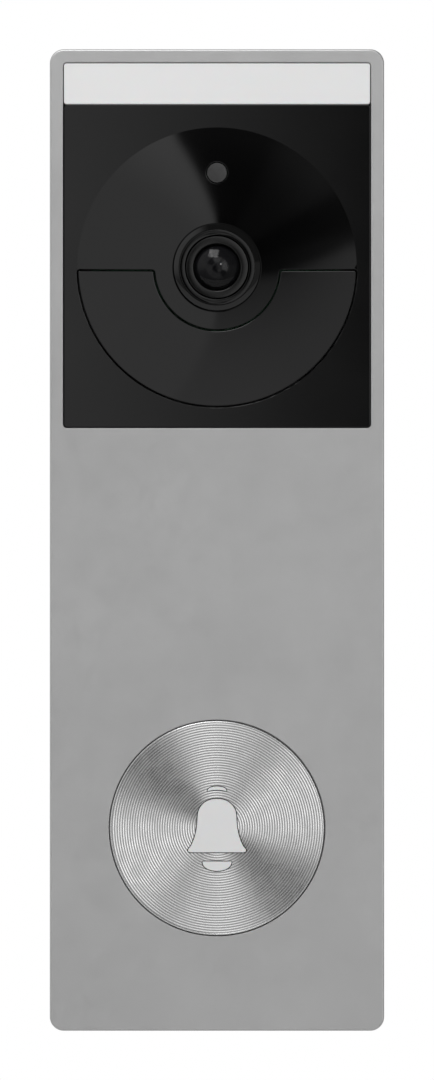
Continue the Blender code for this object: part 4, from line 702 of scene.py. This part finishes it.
# the bell: a rounded lip, a flare that gets steeper downwards, and a dome
def bellPoints(steps=14):
    domeBase = bell["top"] - bell["domeHeight"]
    lip, shoulder, bottom = bell["lip"], bell["shoulder"], bell["bottom"]
    right = [(lip - inwards, bottom + upwards) for inwards, upwards in bell["lipCorner"]]
    flareWidth, flareBase = lip - bell["lipTop"][0] - shoulder, bottom + bell["lipTop"][1]
    for step in range(1, steps + 1):
        share = step / steps
        curved = bell["flareShare"] * (1 - share) ** bell["flarePower"]
        width = shoulder + flareWidth * (curved + (1 - bell["flareShare"]) * (1 - share))
        right.append((width, flareBase + (domeBase - flareBase) * share))
    for step in range(1, steps):
        angle = math.pi / 2 * step / steps
        across = shoulder * math.cos(angle) ** bell["domePower"]
        right.append((across, domeBase + bell["domeHeight"] * math.sin(angle)))
    left = [(-x, z) for x, z in reversed(right)]
    return right + [(0.0, bell["top"])] + left


# a half round with a flat or arched base, for the crown and the clapper
def capPoints(half, height, flatZ, upwards, arch=0.0, steps=16, power=0.85):
    points = []
    for step in range(steps + 1):
        angle = math.pi * step / steps
        points.append((half * math.cos(angle), height * math.sin(angle) ** power))
    for step in range(1, steps // 2):
        share = step / (steps // 2)
        x = -half + 2 * half * share
        points.append((x, arch * math.sin(math.pi * share)))
    if upwards:
        return [(x, flatZ + z) for x, z in points]
    return [(x, flatZ - z) for x, z in reversed(points)]


crownBase = bell["crownTop"] - bell["crownHeight"]
iconPoints = {
    "bellShape": bellPoints(),
    "crown": capPoints(bell["crownHalf"], bell["crownHeight"], crownBase, True, bell["crownArch"]),
    "clapper": capPoints(bell["clapperHalf"], bell["clapperHeight"], bell["clapperTop"], False),
}
iconOutlines = {
    name: outlineFromPoints([(x, z + bellAt[1]) for x, z in points]) for name, points in iconPoints.items()}


# the cap is turned with fine grooves, and the bell is cut out of its face
def makeButtonCap():
    mesh = bmesh.new()
    face, rear = -capLow.y, -capHigh.y
    radius, rim, pitch = bell["radius"], bell["rim"], bell["pitch"]
    flangeRadius = capHigh.x
    profile = [(0.0, face - bell["grooveDepth"])]
    grooves = int((radius - rim) / pitch)
    for index in range(grooves):
        start = pitch * index
        profile.append((start + pitch / 2, face))
        profile.append((start + pitch, face - bell["grooveDepth"]))
    rimSteps = 4
    for step in range(rimSteps + 1):
        angle = math.pi / 2 * step / rimSteps
        profile.append((radius - rim * (1 - math.sin(angle)), face - rim * (1 - math.cos(angle))))
    skirt, inner, inside = face - bell["skirt"], radius - bell["skirtWall"], face - bell["faceWall"]
    profile += [(radius, skirt), (flangeRadius, skirt), (flangeRadius, rear)]
    profile += [(inner, rear), (inner, inside), (0.0, inside)]
    lathe(mesh, profile, bellAt, bell["sides"])
    cap = finishPiece("bellButton", mesh, "bell_button_cap", "bell_button", sharp=bell["sharp"])
    cutters = []
    for name, outline in iconOutlines.items():
        shape = bmesh.new()
        ends = (face + 1 * mm, face - 3 * mm)  # well past both sides of the face
        rings = [addRing(shape, outline, bell["iconGap"], depth) for depth in ends]
        addWall(shape, rings)
        shape.faces.new(rings[0])
        shape.faces.new(rings[1])
        bmesh.ops.recalc_face_normals(shape, faces=shape.faces)
        data = bpy.data.meshes.new(name + "Cutter")
        shape.to_mesh(data)
        shape.free()
        cutter = bpy.data.objects.new(name + "Cutter", data)
        scene.collection.objects.link(cutter)
        cutters.append(cutter)
        cut = cap.modifiers.new(name, "BOOLEAN")
        cut.operation = "DIFFERENCE"
        cut.solver = "EXACT"
        cut.object = cutter
    shaped = bpy.data.meshes.new_from_object(cap.evaluated_get(bpy.context.evaluated_depsgraph_get()))
    cap.modifiers.clear()
    cap.data = shaped
    shaped.set_sharp_from_angle(angle=math.radians(bell["sharp"]))
    for cutter in cutters:
        bpy.data.objects.remove(cutter)


# three shapes with a painted glow on a base that is masked black, so that the painted glow comes out of the
# shapes alone
def makeBellLight():
    mesh = bmesh.new()
    face, rear = -guideLow.y, -guideHigh.y
    base, radius = rear + bell["guideBase"], bell["guideRadius"]
    root = base - bell["guideRoot"]
    for outline in iconOutlines.values():
        rings = edgeRings(mesh, outline, 1, bell["guideEdge"], face, steps=2)
        rings.append(addRing(mesh, outline, 0.0, root))
        addWall(mesh, rings)
        fillSheet(mesh, [rings[0]], face)
        fillSheet(mesh, [rings[-1]], root)
    profile = [(0.0, base), (radius, base), (radius, rear), (0.0, rear)]
    lathe(mesh, softProfile(profile, bell["guideBaseEdge"]), bellAt, 96, materialOf=lambda place: 1)
    finishPiece("bellLight", mesh, "bell_light_guide", "bell_button", ["bell_opal", "matt_black"])


makeButtonCap()
makeBellLight()
print("bell button made")


# soften makes a copy of a CAD node with its sharp edges rounded
softening = dict(sharpest=math.radians(40.0), flattest=math.radians(1.0), joinWithin=0.002 * mm, steps=2)


def soften(name, node, body, width):
    mesh = bmesh.new()
    mesh.from_mesh(frame["nodes"][node].data)
    bmesh.ops.remove_doubles(mesh, verts=mesh.verts, dist=softening["joinWithin"])
    bmesh.ops.dissolve_limit(
        mesh, angle_limit=softening["flattest"], verts=mesh.verts, edges=mesh.edges,
        use_dissolve_boundaries=False)
    folds = [line for line in mesh.edges if line.is_manifold]
    sharp = [line for line in folds if line.calc_face_angle() > softening["sharpest"]]
    bmesh.ops.bevel(
        mesh, geom=sharp, offset=width, offset_type="OFFSET", segments=softening["steps"], profile=0.5,
        affect="EDGES", clamp_overlap=True, miter_outer="ARC")
    piece = finishPiece(name, mesh, node, body)
    level = piece.modifiers.new("levelFaces", "WEIGHTED_NORMAL")
    level.keep_sharp = True
    level.weight = 100  # large faces decide the shading
    return piece


softPieces = {
    "frontHousing": dict(node="front_housing", body="unit", width=0.25 * mm),
    "rearCover": dict(node="rear_cover", body="unit", width=0.2 * mm),
    "rearGasket": dict(node="rear_gasket", body="unit", width=0.15 * mm),
    "terminalBlock": dict(node="terminal_block", body="unit", width=0.2 * mm),
    "wallBracket": dict(node="wall_bracket", body="wall_bracket", width=0.2 * mm),
}
for name, settings in softPieces.items():
    soften(name, settings["node"], settings["body"], settings["width"])

# the rubber ring behind the button, which gives way as the button goes in, is drawn softened at its rest
# shape with a mesh of its own
seal = dict(edge=0.12 * mm, give=0.36 * mm)
buttonSeal = soften("buttonSeal", "button_seal", "unit", seal["edge"])
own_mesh(buttonSeal)


# the cross and the slot in the screw heads
def crossOutline(arm, thick):
    corner = [(thick, thick), (thick, arm), (-thick, arm), (-thick, thick)]
    points = []
    for turn in range(4):
        for x, z in corner[:3]:
            for _ in range(turn):
                x, z = -z, x
            points.append((x, z))
    return outlineFromPoints(points)


def slotOutline(arm, thick):
    return outlineFromPoints([(arm, -thick), (arm, thick), (-arm, thick), (-arm, -thick)])


# a screw whose head faces the rear, or down where faceDown is set
def makeScrew(name, node, body, recess, screw, faceDown=False):
    low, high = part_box(node)
    radius = (high.x - low.x) / 2
    length = high.z - low.z if faceDown else high.y - low.y
    shank = screw["shank"]
    mesh = bmesh.new()
    rings = edgeRings(mesh, circleOutline(radius, sides=64), 1, screw["edge"], 0.0, steps=3)
    rings.append(addRing(mesh, circleOutline(radius, sides=64), 0.0, -screw["head"]))
    rings.append(addRing(mesh, circleOutline(shank, sides=64), 0.0, -screw["head"]))
    pointed = 0.4 * shank
    rings.append(addRing(mesh, circleOutline(shank, sides=64), 0.0, -length + pointed))
    rings.append(addRing(mesh, circleOutline(shank - pointed, sides=64), 0.0, -length))
    addWall(mesh, rings)
    draft = 0.03 * mm  # the recess narrows a little towards its floor
    hollow = [addRing(mesh, recess, 0.0, 0.0), addRing(mesh, recess, -draft, -screw["recess"])]
    addWall(mesh, hollow)
    fillSheet(mesh, [rings[0], hollow[0]], 0.0)
    fillSheet(mesh, [hollow[-1]], -screw["recess"])
    fillSheet(mesh, [rings[-1]], -length)
    middle = (low + high) / 2
    if faceDown:
        turn, place = Matrix.Rotation(math.pi / 2, 3, "X"), (middle.x, middle.y, low.z)
    else:
        turn, place = Matrix.Rotation(math.pi, 3, "Z"), (middle.x, high.y, middle.z)
    bmesh.ops.rotate(mesh, verts=mesh.verts, cent=(0.0, 0.0, 0.0), matrix=turn)
    bmesh.ops.translate(mesh, verts=mesh.verts, vec=place)
    finishPiece(name, mesh, node, body)


screws = dict(
    cover=dict(
        count=4, arm=1.25 * mm, thick=0.26 * mm, shank=1.0 * mm, edge=0.18 * mm, head=0.6 * mm,
        recess=0.42 * mm),
    terminal=dict(
        count=2, arm=2.2 * mm, thick=0.30 * mm, shank=1.4 * mm, edge=0.2 * mm, head=0.9 * mm,
        recess=0.5 * mm),
    security=dict(
        count=1, arm=1.2 * mm, thick=0.26 * mm, shank=1.25 * mm, edge=0.18 * mm, head=0.8 * mm,
        recess=0.5 * mm))
for kind, screw in screws.items():
    recess = (slotOutline if kind == "terminal" else crossOutline)(screw["arm"], screw["thick"])
    locks = kind == "security"
    for index in range(1, screw["count"] + 1):
        node = "security_screw" if locks else f"{kind}_screw_{index}"
        makeScrew(f"{kind}Screw{index}", node, "locking_screw" if locks else "unit", recess, screw, locks)


# the two small controls on the back: rounded tips on collared stems
rearControls = {
    "resetButton": dict(
        node="reset_button", body="reset_key", radius=1.8 * mm, collar=0.6 * mm, tip=0.35 * mm),
    "tamperPlunger": dict(
        node="tamper_plunger", body="tamper_pin", radius=1.5 * mm, collar=0.5 * mm, tip=0.5 * mm),
}
tipShape = dict(width=0.7, drop=0.12, edge=0.12 * mm)


def makeRearControl(name, control):
    low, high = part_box(control["node"])
    face, inner, wide = -high.y, -low.y, (high.x - low.x) / 2
    radius, tip, collar = control["radius"], control["tip"], inner - control["collar"]
    mesh = bmesh.new()
    profile = [
        (0.0, face), (radius * tipShape["width"], face + tip * tipShape["drop"]), (radius, face + tip),
        (radius, collar), (wide, collar), (wide, inner), (0.0, inner)]
    middle = (low + high) / 2
    lathe(mesh, softProfile(profile, tipShape["edge"]), (middle.x, middle.z), 64)
    finishPiece(name, mesh, control["node"], control["body"])


for name, control in rearControls.items():
    makeRearControl(name, control)
print("housing, back, screws and rear controls made")

view = dict(lens=300.0, sensor=36.0, frameHeight=200.22 * mm, nearest=0.01, farthest=50.0)
cameraData = bpy.data.cameras.new("camera")
cameraData.lens = view["lens"]
cameraData.sensor_width = view["sensor"]
cameraData.clip_start = view["nearest"]
cameraData.clip_end = view["farthest"]
cameraObject = bpy.data.objects.new("camera", cameraData)
distance = view["frameHeight"] * view["lens"] / view["sensor"]
cameraObject.location = (0.0, plateLow.y - distance, 0.0)
cameraObject.rotation_euler = (math.pi / 2, 0.0, 0.0)
scene.collection.objects.link(cameraObject)
scene.camera = cameraObject
scene.view_settings.view_transform = "Standard"

floorShape = dict(width=2.6, near=-0.35, far=1.8, z=-0.25)
mesh = bmesh.new()
half = floorShape["width"] / 2
corners = [(-half, "near"), (half, "near"), (half, "far"), (-half, "far")]
mesh.faces.new([mesh.verts.new((x, floorShape[end], floorShape["z"])) for x, end in corners])
floorData = bpy.data.meshes.new("floor")
mesh.to_mesh(floorData)
mesh.free()
floor = bpy.data.objects.new("floor", floorData)
scene.collection.objects.link(floor)
floorPaint = finish("floorPaint", dict(
    colour=(0.80, 0.80, 0.80), second=(0.78, 0.78, 0.78), mottle=3.0, roughness=(0.7, 0.8),
    smudge=8.0, grain=60.0, grainDepth=0.0005, bump=0.05))
floorData.materials.append(floorPaint)

# the floor can be looked through from below
floorTree = floorPaint.node_tree
clear = floorTree.nodes.new("ShaderNodeBsdfTransparent")
either = floorTree.nodes.new("ShaderNodeMixShader")
wire(floorTree, floorTree.nodes.new("ShaderNodeNewGeometry").outputs["Backfacing"], either.inputs["Fac"])
wire(floorTree, floorTree.nodes["Principled BSDF"].outputs["BSDF"], either.inputs[1])
wire(floorTree, clear.outputs["BSDF"], either.inputs[2])
wire(floorTree, either.outputs["Shader"], floorTree.nodes["Material Output"].inputs["Surface"])


# the lamps face the lens; azimuth goes round the front from +X, and polar is the angle off straight ahead
lampDistance = 0.6
lampTarget = Vector((0.0, -0.025, camera["z"]))


def softbox(name, settings):
    azimuth, polar = math.radians(settings["azimuth"]), math.radians(settings["polar"])
    way = Vector((math.sin(polar) * math.cos(azimuth), -math.cos(polar), math.sin(polar) * math.sin(azimuth)))
    data = bpy.data.lights.new(name, "AREA")
    data.shape = "SQUARE"
    data.size = settings["size"]
    data.energy = settings["brightness"] * math.pi * data.size ** 2
    lamp = bpy.data.objects.new(name, data)
    lamp.location = lampTarget + way * lampDistance
    lamp.rotation_euler = way.to_track_quat("Z", "Y").to_euler()
    lamp.visible_camera = False
    scene.collection.objects.link(lamp)
    return lamp


softboxes = {
    "topBox": dict(azimuth=103.0, polar=50.0, size=0.30, brightness=4.4),
    "glintBox": dict(azimuth=103.0, polar=50.0, size=0.30, brightness=48.0),
    "sparkBox": dict(azimuth=45.0, polar=17.0, size=0.035, brightness=22.0),
}
lamps = {name: softbox(name, settings) for name, settings in softboxes.items()}

# two of the lamps are there for the glints in the lens alone, and the top one skips its collar
lensOnly = bpy.data.collections.new("lensOnly")
lensOnly.objects.link(bpy.data.objects["domeLens"])
lamps["glintBox"].light_linking.receiver_collection = lensOnly
lamps["sparkBox"].light_linking.receiver_collection = lensOnly
skipsCollar = bpy.data.collections.new("skipsCollar")
skipsCollar.objects.link(bpy.data.objects["lensBezel"])
skipsCollar.collection_objects[0].light_linking.link_state = "EXCLUDE"
lamps["topBox"].light_linking.receiver_collection = skipsCollar

# the room, drawn by direction: x and z of a ray that leaves the front towards the viewer
# near is straight ahead and shows in the glossy panel, wide is round it and shows in the turned button
room = dict(
    background=1.0, behind=0.85, behindEdge=(-0.05, 0.15), plain=0.27, band=0.55, bandReach=(0.52, 0.66),
    nearReach=(0.27, 0.32), rightEdge=(-0.012, 0.016), rightLean=2.0, rightStart=(0.164, 0.224),
    rightLight=0.70, rightLow=1.05, rightLowEdge=(-0.22, -0.12), upperEdge=(-0.018, 0.018),
    upperLean=(-0.257, -0.041, 1.675, 0.09), upperLight=(0.20, 0.60), lowerLight=(0.02, 0.15),
    leftReach=(0.185, 0.26), middleReach=(0.024, 0.034), middleHeight=(0.10, 0.14),
    middleFrom=(-0.020, 0.75), middleTo=(0.020, 0.02),
    lobes=(
        dict(angle=14.0, core=12.0, reach=44.0, light=2.1),
        dict(angle=88.0, core=12.0, reach=32.0, light=1.5),
        dict(angle=194.0, core=12.0, reach=44.0, light=0.7),
        dict(angle=268.0, core=12.0, reach=32.0, light=0.6),
        dict(angle=138.0, core=6.0, reach=26.0, light=0.10),
        dict(angle=318.0, core=6.0, reach=26.0, light=0.12),
    ),
    outerLobes=(
        dict(angle=61.0, core=50.0, reach=53.0, light=0.12),
        dict(angle=150.0, core=20.0, reach=50.0, light=0.75),
    ),
    lowerLobes=(
        dict(angle=224.0, core=5.0, reach=22.0, light=(0.04, 0.30)),
        dict(angle=196.0, core=3.0, reach=12.0, light=(0.01, 0.06)),
    ))


def makeRoom():
    world = bpy.data.worlds.new("studio")
    scene.world = world
    world.use_nodes = True
    tree = world.node_tree

    def calc(operation, first, second=0.0):
        node = tree.nodes.new("ShaderNodeMath")
        node.operation = operation
        for socket, value in zip(node.inputs, (first, second)):
            if isinstance(value, (int, float)):
                socket.default_value = value
            else:
                tree.links.new(value, socket)
        return node.outputs[0]

    def ramp(value, low, high, start=0.0, end=1.0):
        node = tree.nodes.new("ShaderNodeMapRange")
        node.interpolation_type = "SMOOTHSTEP"
        for socket, number in zip(list(node.inputs)[1:5], (low, high, start, end)):
            socket.default_value = number
        tree.links.new(value, node.inputs[0])
        return node.outputs[0]

    def blendTo(value, target, mask):
        change = calc("SUBTRACT", target, value)
        return calc("ADD", value, calc("MULTIPLY", change, mask))

    way = tree.nodes.new("ShaderNodeTexCoord").outputs["Generated"]
    parts = tree.nodes.new("ShaderNodeSeparateXYZ")
    tree.links.new(way, parts.inputs[0])
    x, y, z = parts.outputs
    reach = calc("SQRT", calc("ADD", calc("MULTIPLY", x, x), calc("MULTIPLY", z, z)))

    def paintLobes(value, lobes):
        for lobe in lobes:
            ux, uz = math.cos(math.radians(lobe["angle"])), math.sin(math.radians(lobe["angle"]))
            along = calc("DIVIDE", calc("ADD", calc("MULTIPLY", x, ux), calc("MULTIPLY", z, uz)), reach)
            mask = ramp(along, math.cos(math.radians(lobe["reach"])), math.cos(math.radians(lobe["core"])))
            light = lobe["light"]
            if isinstance(light, tuple):
                light = ramp(reach, *room["leftReach"], *light)
            value = blendTo(value, light, mask)
        return value

    plain = calc("ADD", calc("MULTIPLY", x, 0.0), room["plain"])
    wide = paintLobes(calc("ADD", calc("MULTIPLY", x, 0.0), room["band"]), room["lobes"])
    wide = blendTo(wide, paintLobes(plain, room["outerLobes"]), ramp(reach, *room["bandReach"]))
    lower = paintLobes(ramp(reach, *room["leftReach"], *room["lowerLight"]), room["lowerLobes"])
    upper = ramp(reach, *room["leftReach"], *room["upperLight"])
    startX, startZ, lean, highest = room["upperLean"]
    border = calc("ADD", calc("MULTIPLY", calc("SUBTRACT", x, startX), lean), startZ)
    border = calc("MINIMUM", border, highest)
    near = blendTo(lower, upper, ramp(calc("SUBTRACT", z, border), *room["upperEdge"]))
    right = ramp(z, *room["rightLowEdge"], room["rightLow"], room["rightLight"])
    below, above = room["rightStart"]
    beyond = calc("MAXIMUM", calc("SUBTRACT", calc("MULTIPLY", z, -1.0), below), calc("SUBTRACT", z, above))
    beyond = calc("MAXIMUM", beyond, 0.0)
    edge = calc("SUBTRACT", x, calc("MULTIPLY", beyond, room["rightLean"]))
    near = blendTo(near, right, ramp(edge, *room["rightEdge"]))
    middle = ramp(calc("ABSOLUTE", x), *room["middleReach"], 1.0, 0.0)
    middle = calc("MULTIPLY", middle, ramp(calc("ABSOLUTE", z), *room["middleHeight"], 1.0, 0.0))
    slide = tree.nodes.new("ShaderNodeMapRange")
    for socket, number in zip(list(slide.inputs)[1:5], (
            room["middleFrom"][0], room["middleTo"][0], room["middleFrom"][1], room["middleTo"][1])):
        socket.default_value = number
    tree.links.new(x, slide.inputs[0])
    near = blendTo(near, slide.outputs[0], middle)
    level = blendTo(wide, near, ramp(reach, *room["nearReach"], 1.0, 0.0))
    level = blendTo(level, room["behind"], ramp(y, *room["behindEdge"]))
    seen = tree.nodes.new("ShaderNodeLightPath").outputs["Is Camera Ray"]
    level = blendTo(level, room["background"], seen)
    background = tree.nodes["Background"]
    tree.links.new(level, background.inputs["Strength"])
    background.inputs["Color"].default_value = (1.0, 1.0, 1.0, 1.0)


makeRoom()
print("camera, floor and studio set")
